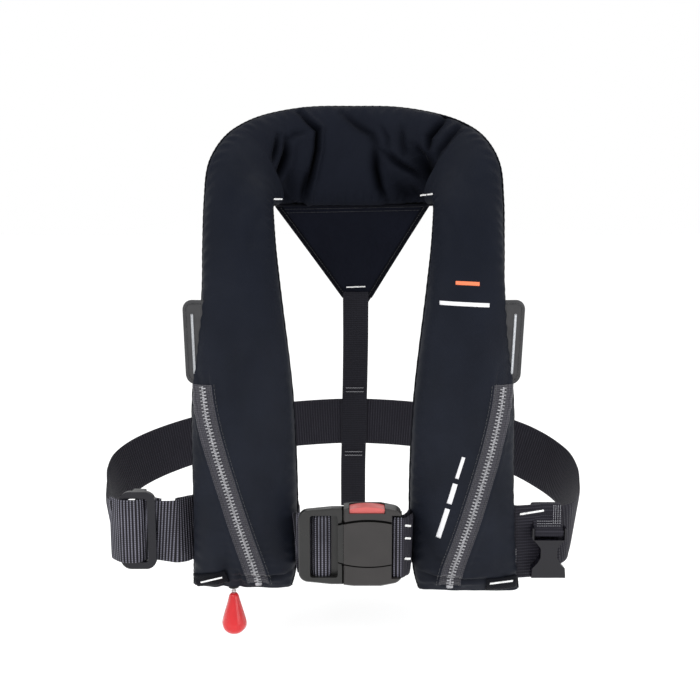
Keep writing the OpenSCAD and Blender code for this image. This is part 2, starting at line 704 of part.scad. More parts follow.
head_x = -82;              // axis of the gas cylinder and its inflator
head_y = -101.5;
pivot_x = -88;
pivot_z = -312;
lever_rise = 40;
lever_len = 20.9;
lobe_turn = -43;           // direction of the cam lobe that lifts the piercing pin
lobe_len = 6;
module inflator_body() {
    color("#262626")
        difference() {
            translate([-96, head_y - 12.5, -321]) cube([28, 25, 45]);
            translate([head_x, head_y, -290.2]) cylinder(r = 6.35, h = 20);
            translate([head_x, head_y, -330]) cylinder(r = 1.65, h = 50);
            translate([head_x, head_y, -301.5]) cylinder(r = 3.2, h = 7);
            translate([-97, head_y - 3, -322]) cube([24, 6, 17.5]);
            translate([-97, head_y - 3, -322]) cube([8.5, 6, 24]);
            translate([pivot_x, head_y + 20, pivot_z]) rotate([90, 0, 0]) cylinder(r = 2.05, h = 40);
            translate([-97, head_y, -286]) rotate([0, 90, 0]) cylinder(r = 4.1, h = 7.2);
        }
}
module inflator_lever() {
    color("crimson")
        translate([pivot_x, head_y + 2.5, pivot_z]) rotate([90, 0, 0])
            difference() {
                linear_extrude(5) {
                    circle(4);
                    rotate(180 - lever_rise) translate([0, -2.4]) square([lever_len, 4.8]);
                    rotate(180 - lever_rise) translate([lever_len, 0]) circle(3.2);
                    rotate(lobe_turn) translate([0, -2.2]) square([lobe_len, 4.4]);
                    rotate(lobe_turn) translate([lobe_len, 0]) circle(2.2);
                }
                translate([0, 0, -1]) cylinder(r = 2.05, h = 7);
            }
}
module lever_pin() {
    color("silver") translate([pivot_x, head_y + 12.5, pivot_z]) rotate([90, 0, 0]) cylinder(r = 2, h = 25);
}
module piercing_pin() {
    color("silver")
        translate([head_x, head_y, -306.9]) {
            cylinder(r = 1.6, h = 15);
            translate([0, 0, 15]) cylinder(r1 = 1.6, r2 = 0.3, h = 2.2);
        }
}
module pin_spring() {
    color("silver") translate([head_x, head_y, -301]) coil(2.5, 5.6, 4, 0.35);
}
module gas_cylinder() {
    shoulder_z = -262;
    color("#c9ccd1")
        translate([head_x, head_y, 0])
            difference() {
                rotate_extrude()
                    polygon([[0, -288], [6.25, -288], [6.25, -270], [9, shoulder_z - 4], [cylinder_r - 1, shoulder_z + 4],
                        [cylinder_r, shoulder_z + 8], [cylinder_r, shoulder_z + cylinder_l - 14],
                        [cylinder_r - 2.5, shoulder_z + cylinder_l - 7], [cylinder_r - 8, shoulder_z + cylinder_l - 1.6],
                        [0, shoulder_z + cylinder_l]]);
                translate([0, 0, -290]) cylinder(r = 2.3, h = 9);
            }
}
module cylinder_washer() {
    color("black")
        translate([head_x, head_y, -290])
            difference() {
                cylinder(r = 6.2, h = 1.8);
                translate([0, 0, -1]) cylinder(r = 2.4, h = 4);
            }
}
module bladder_manifold() {
    color("#4a4a4a")
        translate([-110.6, head_y, -286]) rotate([0, 90, 0])
            difference() {
                union() {
                    cylinder(r = 4, h = 20.2);
                    cylinder(r = 9, h = 1.6);
                }
                translate([0, 0, -1]) cylinder(r = 2, h = 30);
            }
}

// ---------------------------------------------------------------- oral tube and whistle, in the wearer's left lobe

tube_x = 84;
tube_low = -300;
tube_high = -205;
module oral_tube() {
    color("#1c1c1c")
        translate([tube_x, head_y, 0])
            difference() {
                union() {
                    translate([0, 0, tube_low]) cylinder(r = 6, h = tube_high - tube_low);
                    translate([0, 0, tube_low]) cylinder(r = 12, h = 2);
                    translate([0, 0, tube_high - 14]) cylinder(r = 7.6, h = 14);
                }
                translate([0, 0, tube_low - 1]) cylinder(r = 4.2, h = 200);
                translate([0, 0, tube_high - 11]) cylinder(r = 6, h = 12);
            }
}
module oral_valve() {
    color("orange")
        translate([tube_x, head_y, tube_high - 6]) {
            cylinder(r = 5.8, h = 2);
            translate([0, 0, -9]) cylinder(r = 1.4, h = 13);
        }
}
module valve_spring() {
    color("silver") translate([tube_x, head_y, tube_high - 10.4]) coil(4.9, 4, 3, 0.4);
}
module oral_cap() {
    color("#101010")
        translate([tube_x, head_y, tube_high - 8])
            difference() {
                cylinder(r = 9.4, h = 12);
                translate([0, 0, -1]) cylinder(r = 7.8, h = 11);
            }
}
module whistle() {
    color("orangered")
        difference() {
            plate(86, -161.5, -108, -98) rounded_rect(17, 44, 4);
            translate([86, 0, -144.5]) rotate([90, 0, 0]) cylinder(r = 2, h = 300, center = true);
            translate([82, -106.4, -184.5]) cube([8, 6.8, 34]);
            translate([82, -112, -174.5]) cube([8, 8, 5]);
        }
}

right_lobe_cover();
right_lobe_lining();
left_lobe_cover();
left_lobe_lining();
collar_cover();
collar_lining();
bladder();
yoke();
yoke_binding();
back_strap();
strap_tunnel();
right_zip_tape();
right_zip_teeth();
left_zip_tape();
left_zip_teeth();
zip_sliders();
right_side_tab();
left_side_tab();
side_tab_reflectors();
right_hem_tab();
left_hem_tab();
bar_tacks();
waist_belt();
belt_return();
buckle_web_loop();
slider_web_loop();
crotch_web_loop();
buckle_frame();
frame_web_bar();
socket_front();
socket_back();
socket_web_bar();
release_button();
latch_plate();
latch_spring();
belt_slider();
crotch_buckle();
pull_toggle();
pull_lanyard();
lanyard_grommet();
inflator_body();
inflator_lever();
lever_pin();
piercing_pin();
pin_spring();
gas_cylinder();
cylinder_washer();
bladder_manifold();
oral_tube();
oral_valve();
valve_spring();
oral_cap();
whistle();
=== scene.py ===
# Looks of the inflatable life jacket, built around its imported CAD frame.
# Lengths inside the shape code are millimetres; every mesh is made in metres.
import math
import bmesh
import bpy
import numpy as np
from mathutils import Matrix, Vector, noise
from mathutils.bvhtree import BVHTree


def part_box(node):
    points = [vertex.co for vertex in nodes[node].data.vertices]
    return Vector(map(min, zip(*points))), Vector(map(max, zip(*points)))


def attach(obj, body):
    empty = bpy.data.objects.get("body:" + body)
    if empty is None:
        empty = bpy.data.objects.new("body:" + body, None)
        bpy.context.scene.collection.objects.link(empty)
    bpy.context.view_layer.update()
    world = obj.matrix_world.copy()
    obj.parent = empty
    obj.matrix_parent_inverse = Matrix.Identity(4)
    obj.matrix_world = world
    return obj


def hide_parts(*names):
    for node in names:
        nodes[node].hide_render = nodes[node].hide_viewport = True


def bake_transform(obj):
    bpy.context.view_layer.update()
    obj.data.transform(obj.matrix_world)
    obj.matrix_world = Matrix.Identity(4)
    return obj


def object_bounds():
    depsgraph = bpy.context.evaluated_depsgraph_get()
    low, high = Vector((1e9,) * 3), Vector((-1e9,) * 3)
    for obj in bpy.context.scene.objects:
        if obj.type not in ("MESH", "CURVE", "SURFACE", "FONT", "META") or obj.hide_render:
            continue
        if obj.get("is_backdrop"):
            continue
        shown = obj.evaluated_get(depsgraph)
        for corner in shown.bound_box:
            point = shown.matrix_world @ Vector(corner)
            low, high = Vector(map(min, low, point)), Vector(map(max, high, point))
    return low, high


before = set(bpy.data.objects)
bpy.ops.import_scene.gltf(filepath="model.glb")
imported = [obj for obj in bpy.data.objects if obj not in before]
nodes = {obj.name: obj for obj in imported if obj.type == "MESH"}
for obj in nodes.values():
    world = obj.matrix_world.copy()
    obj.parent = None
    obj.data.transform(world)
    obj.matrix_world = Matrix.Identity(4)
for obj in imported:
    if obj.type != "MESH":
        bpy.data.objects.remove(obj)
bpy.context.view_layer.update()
MM = 0.001
TAU = 2 * math.pi
FRONT = (0, -1, 0)
STITCH_LIFT = 0.1  # of a thread over its cloth


# ---- mesh helpers

def unit(v):
    """The same directions at length 1."""
    return v / np.maximum(np.linalg.norm(v, axis=-1, keepdims=True), 1e-12)


def rows_at(rows, t):
    """The rows' values at positions t, smooth from row to row."""
    rows, t = np.asarray(rows, float), np.asarray(t, float)
    last = len(rows) - 1
    u = np.clip(t, 0, last)
    i = np.minimum(np.floor(u).astype(int), last - 1)
    f = (u - i)[..., None]
    a, b, c, d = rows[np.maximum(i - 1, 0)], rows[i], rows[i + 1], rows[np.minimum(i + 2, last)]
    curve = (2 * a - 5 * b + 4 * c - d) * f * f + (3 * b - a - 3 * c + d) * f ** 3
    return 0.5 * (2 * b + (c - a) * f + curve)


def distances(path):
    """Each point's distance from the path's start, measured along it."""
    return np.concatenate([[0], np.cumsum(np.linalg.norm(np.diff(path, axis=0), axis=1))])


def read_at(at, run, values):
    """Rows of values known at distances run, read at distances at."""
    return np.stack([np.interp(at, run, column) for column in np.transpose(values)], -1)


def resample(route, step):
    """Points about one step apart along a smooth route, with their distance from its start."""
    fine = rows_at(route, np.linspace(0, len(route) - 1, 24 * len(route)))
    run = distances(fine)
    at = np.linspace(0, run[-1], max(2, int(round(run[-1] / step)) + 1))
    return read_at(at, run, fine), at


def tangents(points):
    """Directions along a line of points."""
    return unit(np.gradient(points, axis=0))


def grid_faces(n, m, close=False, first=0, flip=False):
    """Quads between n rows of m points; close joins each row's last point to its first."""
    i, j = np.meshgrid(np.arange(n - 1), np.arange(m if close else m - 1), indexing="ij")
    k = (j + 1) % m
    quads = np.stack([i * m + j, i * m + k, (i + 1) * m + k, (i + 1) * m + j], -1).reshape(-1, 4) + first
    return (quads[:, ::-1] if flip else quads).tolist()


def grid_normals(grid):
    return unit(np.cross(np.gradient(grid, axis=0), np.gradient(grid, axis=1)))


def flow_of(along, across):
    """The cloth's own directions over a grid: distances along its rows and across them."""
    return np.stack(np.broadcast_arrays(along, across, 0.0), -1)


def box_mm(node):
    """A CAD node's lower and upper corner."""
    return [np.array(corner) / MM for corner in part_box(node)]


class Batch:
    """Many small closed shapes that make one piece."""

    def __init__(self):
        self.points, self.faces, self.flow, self.count = [], [], [], 0

    def add(self, points, faces, flow=None):
        points = np.asarray(points, float).reshape(-1, 3)
        self.faces += [[v + self.count for v in f] for f in faces]
        self.points.append(points)
        flow = np.zeros((len(points), 3)) if flow is None else flow
        self.flow.append(np.asarray(flow, float).reshape(-1, 3))
        self.count += len(points)

    def loft(self, rings, flow=None):
        """A solid through closed rings, capped at both ends."""
        rings = np.asarray(rings, float)
        n, m = rings.shape[:2]
        caps = [list(range(m))[::-1], [(n - 1) * m + k for k in range(m)]]
        self.add(rings, grid_faces(n, m, close=True) + caps, flow)

    def shell(self, grid, thick, flow=None):
        """A closed cloth under a grid of points, thick millimetres deep."""
        n, m = grid.shape[:2]
        under = grid - grid_normals(grid) * thick
        size = n * m
        column, row = np.arange(n) * m, np.arange(m)
        rim = []
        for edge, turned in ((column, False), (column + m - 1, True), (row, True), (row + size - m, False)):
            for a, b in zip(edge.tolist(), edge[1:].tolist()):
                rim.append([a, a + size, b + size, b] if turned else [a, b, b + size, a + size])
        faces = grid_faces(n, m, flip=True) + grid_faces(n, m, first=size) + rim
        both = None if flow is None else np.concatenate([flow.reshape(-1, 3)] * 2)
        self.add(np.concatenate([grid.reshape(-1, 3), under.reshape(-1, 3)]), faces, both)

    def skin(self, grid, out, thick, flow):
        """A shell whose grid is the side that faces out."""
        self.shell(grid, thick * np.sign(np.sum(grid_normals(grid) * out, axis=-1).mean()), flow)

    def tube(self, points, radius, sides=8):
        """A round cord along points; radius is a number or one per point."""
        points = np.asarray(points, float)
        t = tangents(points)
        side = unit(np.cross(t, [0.31, 0.17, 0.94]))
        up = np.cross(t, side)
        a = np.arange(sides) * TAU / sides
        radius = np.broadcast_to(radius, len(points))[:, None, None]
        ring = side[:, None] * np.cos(a)[:, None] + up[:, None] * np.sin(a)[:, None]
        self.loft(points[:, None] + ring * radius)

    def stitch(self, centre, along, out, length, thick=0.35):
        """One thread that lies on a surface, dipping in at both ends."""
        f = np.array([-0.5, -0.36, 0, 0.36, 0.5])
        lift = np.array([-0.5, 0.45, 0.75, 0.45, -0.5]) * thick
        points = centre + unit(along) * (f * length)[:, None] + out * lift[:, None]
        self.tube(points, np.array([0.5, 0.9, 1, 0.9, 0.5]) * thick, 6)

    def seam(self, path, outs, pitch, length, thick=0.35, wander=0.0):
        """A row of stitches along a path; outs is one outward direction, or one per point."""
        run = distances(path)
        at = np.arange(pitch / 2, run[-1], pitch)
        centres, along = read_at(at, run, path), read_at(at, run, tangents(path))
        out = unit(read_at(at, run, np.broadcast_to(outs, path.shape)))
        for k, (c, t, o) in enumerate(zip(centres, along, out)):
            turn = np.cross(o, t) * wander * (1 if k % 2 else -1)
            self.stitch(c + o * STITCH_LIFT, t + turn, o, length, thick)

    def build(self, name, look, body="root", slot=None, replaces=()):
        """The piece, riding on its body, in place of the CAD nodes that it stands for; slot is not used."""
        points = np.concatenate(self.points) * MM
        mesh = bpy.data.meshes.new(name)
        mesh.from_pydata(points.tolist(), [], self.faces)
        mesh.validate()
        work = bmesh.new()
        work.from_mesh(mesh)
        bmesh.ops.recalc_face_normals(work, faces=work.faces)
        work.to_mesh(mesh)
        work.free()
        mesh.polygons.foreach_set("use_smooth", [True] * len(mesh.polygons))
        flow = mesh.attributes.new("flow", "FLOAT_VECTOR", "POINT")
        flow.data.foreach_set("vector", np.concatenate(self.flow).astype(np.float32).ravel())
        mesh.materials.append(look)
        piece = bpy.data.objects.new(name, mesh)
        bpy.context.scene.collection.objects.link(piece)
        if body:
            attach(piece, body)
        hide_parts(*replaces)
        return piece


def smooth(x, low, high):
    """A soft step from 0 at low to 1 at high."""
    f = np.clip((x - low) / (high - low), 0, 1)
    return f * f * (3 - 2 * f)


def ridge(x, centre, width):
    """A round bump of height 1 at centre."""
    return np.exp(-((x - centre) / width) ** 2)


def lumps(points, size, seed):
    """Smooth noise from -1 to 1 at each point, with features of about that size."""
    flat = points.reshape(-1, 3) / size
    shift = Vector((seed * 7.3, seed * 3.1, seed * 5.7))
    return np.array([noise.noise(Vector(p) + shift) for p in flat]).reshape(points.shape[:-1])


def strokes(points, marks):
    """Height of sculpted creases, and the painted shade that each point gets from lying deep in a crease (0
    to 1).

    A mark is its line of (x, z), half width, depth and how far one side stands up.
    """
    x, z = points[..., 0], points[..., 2]
    height, fold_shade = np.zeros(x.shape), np.zeros(x.shape)
    for line, wide, deep, bank in marks:
        line = np.asarray(line, float)
        start = distances(line)
        best = np.full(x.shape, np.inf)
        signed, where = np.zeros(x.shape), np.zeros(x.shape)
        for p, d, begin, size in zip(line, np.diff(line, axis=0), start, np.diff(start)):
            f = np.clip(((x - p[0]) * d[0] + (z - p[1]) * d[1]) / size ** 2, 0, 1)
            gx, gz = x - p[0] - f * d[0], z - p[1] - f * d[1]
            dist = np.hypot(gx, gz)
            near = dist < best
            best = np.where(near, dist, best)
            signed = np.where(near, np.sign(d[0] * gz - d[1] * gx) * dist, signed)
            where = np.where(near, (begin + f * size) / start[-1], where)
        taper = np.sin(np.clip(where, 0.04, 0.96) * math.pi) ** 0.6
        valley = taper * np.exp(-np.abs(signed / wide) ** 1.5)
        height -= deep * valley
        # Painted shade: the deeper a crease, the darker its hollow is coloured.
        fold_shade = np.maximum(fold_shade, np.clip(deep / 6 - 0.15, 0, 1) * valley ** 0.6)
        height += bank * taper * ridge(signed, 2.0 * wide, 1.5 * wide)
    return height, fold_shade


# ---- materials

class Look:
    """One procedural material, whose patterns use object space or the cloth's own directions."""

    def __init__(self, name, colour, rough, metal=0.0, specular=0.5, sheen=0.0, coat=0.0):
        self.material = bpy.data.materials.new(name)
        self.material.use_nodes = True
        self.tree = self.material.node_tree
        self.shader = self.tree.nodes["Principled BSDF"]
        self.colour = (*colour, 1)
        for socket, value in (("Base Color", self.colour), ("Roughness", rough), ("Metallic", metal),
                              ("Specular IOR Level", specular), ("Sheen Weight", sheen),
                              ("Sheen Roughness", 0.45), ("Coat Weight", coat), ("Coat Roughness", 0.2)):
            self.shader.inputs[socket].default_value = value
        self.rough = rough
        self.spaces = {}

    def node(self, kind, links=(), **values):
        made = self.tree.nodes.new("ShaderNode" + kind)
        for key, value in values.items():
            setattr(made, key, value)
        for socket, source in links:
            if isinstance(source, bpy.types.NodeSocket):
                self.tree.links.new(source, made.inputs[socket])
            else:
                made.inputs[socket].default_value = source
        return made

    def space(self, flow):
        """Coordinates in millimetres: the cloth's own (along, across, 0 or the covers' painted crease shade),
        or the object's.
        """
        if flow not in self.spaces:
            if flow:
                self.spaces[flow] = self.node("Attribute", attribute_name="flow").outputs["Vector"]
            else:
                place = self.node("TexCoord").outputs["Object"]
                scaled = self.node("VectorMath", [(0, place), ("Scale", 1 / MM)], operation="SCALE")
                self.spaces[flow] = scaled.outputs[0]
        return self.spaces[flow]

    def axis(self, number, flow=True):
        """One of those coordinates."""
        return self.node("SeparateXYZ", [("Vector", self.space(flow))]).outputs[number]

    def math(self, operation, a, b=0.0):
        return self.node("Math", [(0, a), (1, b)], operation=operation).outputs[0]

    def times(self, a, b):
        return self.math("MULTIPLY", a, b)

    def noise(self, size, detail=3.0, flow=False, stretch=None):
        vector = self.space(flow)
        if stretch:
            vector = self.node("Mapping", [("Vector", vector), ("Scale", stretch)]).outputs[0]
        links = [("Vector", vector), ("Scale", 1.0 / size), ("Detail", detail)]
        return self.node("TexNoise", links).outputs["Fac"]

    def ribs(self, axis, pitch, flow=True):
        """A smooth wave from 0 to 1, one crest each pitch."""
        wave = self.math("COSINE", self.times(self.axis(axis, flow), TAU / pitch))
        return self.times(self.math("ADD", wave, 1.0), 0.5)

    def ramp(self, factor, *stops):
        made = self.node("ValToRGB", [("Fac", factor)])
        ramp = made.color_ramp
        while len(ramp.elements) < len(stops):
            ramp.elements.new(0.5)
        for element, (place, colour) in zip(ramp.elements, stops):
            element.position = place
            element.color = (*colour, 1) if hasattr(colour, "__len__") else (colour, colour, colour, 1)
        return made.outputs["Color"]

    def drive(self, socket, source):
        self.tree.links.new(source, self.shader.inputs[socket])

    def base(self, colour):
        self.drive("Base Color", colour)

    def mix(self, factor, a, b):
        made = self.node("Mix", data_type="RGBA")
        for socket, value in ((made.inputs[0], factor), (made.inputs[6], a), (made.inputs[7], b)):
            if isinstance(value, bpy.types.NodeSocket):
                self.tree.links.new(value, socket)
            else:
                socket.default_value = (*value, 1) if hasattr(value, "__len__") else value
        return made.outputs[2]

    def mottled(self, size, amount, detail=3.0):
        """Base colour that varies lightly from place to place."""
        low = tuple(c * (1 - amount) for c in self.colour[:3])
        high = tuple(min(1, c * (1 + amount)) for c in self.colour[:3])
        self.base(self.ramp(self.noise(size, detail), (0.32, low), (0.68, high)))

    def uneven(self, size, spread):
        """Roughness that varies lightly from place to place."""
        low, high = max(0.02, self.rough - spread), min(1, self.rough + spread)
        self.drive("Roughness", self.ramp(self.noise(size, 4.0), (0.3, low), (0.7, high)))

    def bump(self, height, depth, strength=1.0):
        """Adds relief, depth in millimetres, on top of what is there."""
        made = self.node("Bump", [("Height", height), ("Distance", depth * MM), ("Strength", strength)])
        socket = self.shader.inputs["Normal"]
        if socket.is_linked:
            self.tree.links.new(socket.links[0].from_socket, made.inputs["Normal"])
        self.drive("Normal", made.outputs["Normal"])

    def woven(self, pitch, depth, flow=True):
        """A plain weave: over and under threads."""
        a, b = self.ribs(0, pitch * 2, flow), self.ribs(1, pitch * 2, flow)
        self.bump(self.math("ABSOLUTE", self.math("SUBTRACT", a, b)), depth)


SHADE_FROM = 220  # millimetres below the origin; from there up the cloth gets painted shade that deepens with height


def cloth_look(name, colour, rough=0.58, specular=0.1, weave=0.9, depth=0.12):
    """Coated cloth with painted shade, darker and duller in its folds and, from SHADE_FROM up, with height.
    """
    look = Look(name, colour, rough, specular=specular, sheen=0.01)
    look.mottled(38, 0.16, 5.0)
    # Painted shade: the colour goes almost black deep in the folds and somewhat darker towards the top, and
    # the reflection fades in both.
    fold_shade, height = look.axis(2), look.axis(2, flow=False)
    raised = look.math("DIVIDE", look.math("ADD", height, SHADE_FROM), SHADE_FROM)
    shade = look.times(look.ramp(raised, (0.05, 0), (0.8, 1)), 0.6)
    tone = look.shader.inputs["Base Color"].links[0].from_socket
    tone = look.mix(shade, tone, tuple(c * 0.85 for c in colour))
    look.base(look.mix(fold_shade, tone, tuple(c * 0.08 for c in colour)))
    gloss = look.times(look.math("SUBTRACT", 1.0, fold_shade), look.math("SUBTRACT", 1.0, shade))
    look.drive("Specular IOR Level", look.times(gloss, specular))
    look.woven(weave, depth)
    look.bump(look.noise(7, 4.0), 0.5, 0.35)
    look.uneven(26, 0.06)
    return look.material


def web_look(name, dark, light, pitch=2.7, rough=0.55):
    """Webbing with painted highlights: its crests are coloured lighter as if they caught the light, and fine
    yarns run along it.
    """
    look = Look(name, dark, rough, specular=0.16, sheen=0.02)
    crest = look.ribs(0, pitch)
    beads = look.ribs(1, 1.7)
    painted_shine = look.math("ADD", look.times(beads, 0.55), look.times(look.noise(30, 5.0), 0.7))
    tone = look.times(look.math("POWER", crest, 2.2), painted_shine)
    look.base(look.ramp(tone, (0.05, dark), (0.9, light)))
    look.bump(look.times(beads, crest), 0.25, 0.7)
    look.bump(look.ribs(1, 1.1), 0.1, 0.5)
    look.bump(look.noise(1.5, 2.0), 0.15, 0.5)
    return look.material


def plastic_look(name, colour, rough=0.42, specular=0.5, depth=0.05, coat=0.0, variation=0.12):
    """Moulded plastic with a fine spark-eroded grain and faint scuffs."""
    look = Look(name, colour, rough, specular=specular, coat=coat)
    look.mottled(22, variation, 4.0)
    look.bump(look.noise(0.9, 2.0), depth, 0.6)
    look.bump(look.noise(9, 6.0, stretch=(3.0, 3.0, 0.35)), 0.06, 0.5)
    look.uneven(14, 0.08)
    return look.material


def metal_look(name, colour, rough=0.3):
    look = Look(name, colour, rough, metal=1.0)
    look.mottled(9, 0.15, 5.0)
    look.bump(look.noise(3, 4.0, stretch=(6.0, 6.0, 0.5)), 0.03, 0.5)
    look.uneven(6, 0.12)
    return look.material


COVER = cloth_look("cover_nylon", (0.0062, 0.0078, 0.0132))
COLLAR = cloth_look("collar_nylon", (0.0068, 0.0082, 0.0136), rough=0.6, specular=0.08)
LINING = cloth_look("lining_mesh", (0.0080, 0.0086, 0.0110), rough=0.85, specular=0.1, weave=2.2, depth=0.5)
YOKE = cloth_look("yoke_nylon", (0.0062, 0.0072, 0.0126), rough=0.68, specular=0.06, weave=1.1, depth=0.16)
BINDING = cloth_look("binding_tape", (0.0030, 0.0034, 0.0056), rough=0.6, specular=0.06, weave=1.4,
                     depth=0.25)
# The next two looks are shaded and lit copies of one webbing: the darker one for the belt from the socket
# round the back and for the crotch loop, the lighter one, with stronger painted highlights on its crests, for
# the belt's front stretch and its loops.
WEB_SHADED = web_look("belt_web", (0.0060, 0.0054, 0.0100), (0.024, 0.023, 0.032))
WEB_LIT = web_look("belt_web_lit", (0.0026, 0.0025, 0.0045), (0.185, 0.182, 0.225))
STRAP = web_look("strap_web", (0.0050, 0.0048, 0.0085), (0.017, 0.017, 0.024), pitch=2.1, rough=0.65)


def thread_look(name, colour):
    look = Look(name, colour, 0.6, sheen=0.3)
    look.mottled(2.5, 0.12)
    look.bump(look.noise(0.5, 2.0), 0.12, 0.8)
    return look.material


THREAD = thread_look("white_thread", (0.82, 0.82, 0.82))
DARK_THREAD = thread_look("dark_thread", (0.009, 0.010, 0.014))
GREY_THREAD = thread_look("grey_thread", (0.20, 0.20, 0.22))
CORD = thread_look("pull_cord", (0.55, 0.50, 0.50))
PLASTIC = plastic_look("buckle_plastic", (0.0085, 0.0085, 0.0082), rough=0.34, specular=0.4)
FACE = plastic_look("buckle_face", (0.0165, 0.0145, 0.0142), rough=0.4, specular=0.4, depth=0.07)
SLIDER = plastic_look("slider_plastic", (0.0045, 0.0045, 0.0075), rough=0.28, specular=0.28)
CROTCH = plastic_look("crotch_plastic", (0.0045, 0.0042, 0.0070), rough=0.2, specular=0.32)
RED = plastic_look("button_red", (0.44, 0.078, 0.072), rough=0.38, depth=0.03, variation=0.06)
TOGGLE = plastic_look("toggle_red", (0.50, 0.014, 0.018), rough=0.22, specular=0.3, depth=0.015, coat=0.2,
                      variation=0.08)
SHADE_BLACK = plastic_look("painted_shade_black", (0.0012, 0.0012, 0.0012), rough=0.8, specular=0.04)
RUBBER = plastic_look("rubber_black", (0.012, 0.012, 0.012), rough=0.7)
INFLATOR = plastic_look("inflator_plastic", (0.018, 0.018, 0.020))
MANIFOLD = plastic_look("manifold_plastic", (0.05, 0.05, 0.052))
ORANGE = plastic_look("whistle_orange", (0.75, 0.16, 0.02), rough=0.3)
STEEL = metal_look("steel", (0.55, 0.55, 0.56))
CYLINDER = metal_look("cylinder_metal", (0.62, 0.63, 0.66), rough=0.36)
SLIDER_METAL = metal_look("zip_slider", (0.10, 0.10, 0.11), rough=0.34)
BLADDER = cloth_look("bladder_fabric", (0.78, 0.50, 0.03), rough=0.45, specular=0.4, weave=0.8, depth=0.06)


def zip_tape_look():
    look = Look("zip_tape", (0.030, 0.029, 0.034), 0.75, specular=0.2, sheen=0.2)
    ribs = look.ribs(1, 1.5)
    threads = look.times(look.math("ADD", ribs, look.ribs(0, 1.9)), 0.5)
    look.base(look.ramp(look.times(threads, look.noise(1.6, 3.0, True)),
                        (0.05, (0.017, 0.017, 0.022)), (0.6, (0.066, 0.064, 0.076))))
    look.bump(threads, 0.25, 0.8)
    return look.material


def teeth_look():
    look = Look("zip_teeth", (0.26, 0.26, 0.275), 0.28, metal=0.3, specular=0.5)
    look.mottled(2.3, 0.35, 3.0)
    look.bump(look.noise(0.6, 2.0), 0.05, 0.6)
    return look.material


def tab_look():
    look = Look("tab_rubber", (0.036, 0.036, 0.038), 0.72, specular=0.2)
    look.mottled(11, 0.14, 5.0)
    look.woven(0.9, 0.16, flow=False)
    return look.material


def reflective_look():
    look = Look("reflective", (0.52, 0.53, 0.55), 0.35, metal=0.5)
    cells = look.node("TexVoronoi", [("Vector", look.space(False)), ("Scale", 1.4)]).outputs["Distance"]
    look.base(look.ramp(cells, (0.1, (0.46, 0.47, 0.48)), (0.7, (0.26, 0.27, 0.29))))
    look.bump(cells, 0.08, 0.6)
    return look.material


ZIP_TAPE, TEETH, TAB, REFLECTIVE = zip_tape_look(), teeth_look(), tab_look(), reflective_look()
PALE_PRINT = plastic_look("pale_print", (0.62, 0.62, 0.64), rough=0.5, depth=0.02, variation=0.04)
WARM_PRINT = plastic_look("warm_print", (0.70, 0.16, 0.06), rough=0.5, depth=0.02, variation=0.06)


# ---- the horseshoe's own curves

# Per station of the half on the wearer's left, from the hem to the middle of the collar:
# inner edge x, y, z, outer edge x, y, z, depth of padding in front and behind
LEFT_HALF = [
    [58, -100, -350.6, 145, -100, -350.6, 6.5, 5], [52.5, -100, -327, 142.5, -100, -327, 19, 15],
    [49, -100, -270, 138.5, -100, -270, 24, 20], [52, -100, -182, 136.5, -100, -182, 24, 20],
    [62, -89, -97, 129, -89, -97, 22, 18], [68, -70, -55, 130.5, -70, -52, 21, 17],
    [72, -45, -24, 133, -47, -12, 20, 16], [74, -20, -16, 131.5, -32, 20, 19, 15],
    [74, 4, -15, 121.5, -12, 44, 19, 14], [70, 24, -15, 105, 10, 60, 18, 14],
    [56, 36, -15, 80, 34, 72, 17, 14], [30, 43, -15, 43, 58, 81, 17, 14], [0, 45, -15, 0, 68, 83, 17, 14]]
# The other half mirrors it, apart from its hem and the x of its outer edge
RIGHT_HEM = [[55, -100, -348.2, 140, -100, -347, 6.5, 5], [50.5, -100, -326, 139.5, -100, -326, 19, 15]]
RIGHT_HALF = np.array(RIGHT_HEM + LEFT_HALF[2:-1], float)
RIGHT_HALF[2:, 3] = [138.5, 137.5, 129.5, 130.5, 132, 130, 119.5, 103.5, 80, 43]
RIGHT_HALF[:, [0, 3]] *= -1
STATIONS = np.concatenate([RIGHT_HALF, LEFT_HALF[::-1]])
HEM_END = len(STATIONS) - 1
SHOULDER = 8.5  # the station where a lobe meets the collar
GAP = 0.15  # between the front and the back cover at their seam
POWER = 2.4  # how full the padding is towards its edges


def bulge(v):
    """The share of the padding's depth across the cover, from 0 at its edges to 1 in the middle."""
    return np.maximum(0, 1 - np.abs(v) ** POWER) ** (1 / POWER)


def section(t):
    """Middle, direction across, outward direction, half width and the two depths at stations t."""
    def middle(u):
        row = rows_at(STATIONS, u)
        return (row[..., :3] + row[..., 3:6]) / 2
    row = rows_at(STATIONS, t)
    across = row[..., 3:6] - row[..., :3]
    travel = middle(np.minimum(t + 0.05, HEM_END)) - middle(np.maximum(t - 0.05, 0))
    out = unit(np.cross(unit(travel), unit(across)))
    return middle(t), unit(across), out, np.linalg.norm(across, axis=-1) / 2, row[..., 6], row[..., 7]


def on_cover(t, v, face):
    """Points on the padded surface at stations t and places v across it, -1 inner edge to 1 outer edge."""
    t, v = np.broadcast_arrays(np.asarray(t, float), np.asarray(v, float))
    middle, across, out, half, front, back = section(t)
    deep = front if face > 0 else back
    return (middle + across * (half * v)[..., None]
            + out * (face * (GAP + (deep - GAP) * bulge(v)))[..., None])


# Each side's zip: its share of the cover's width, from the inner edge, at 0 to 4 stations above the hem
ZIP_ROWS = {-1: [[0.32], [0.40], [0.60], [0.86], [1.0]], 1: [[0.30], [0.37], [0.60], [0.86], [1.0]]}
ZIP_LOW, ZIP_HIGH = 0.52, 3.16  # the stations between which a zip shows


def zip_v(s, side):
    """The zip's place across the cover at s stations above the hem."""
    return 2 * rows_at(ZIP_ROWS[side], s)[..., 0] - 1


def station(s, side):
    """Stations above a side's hem as stations of the whole horseshoe, and back."""
    return s if side < 0 else HEM_END - s


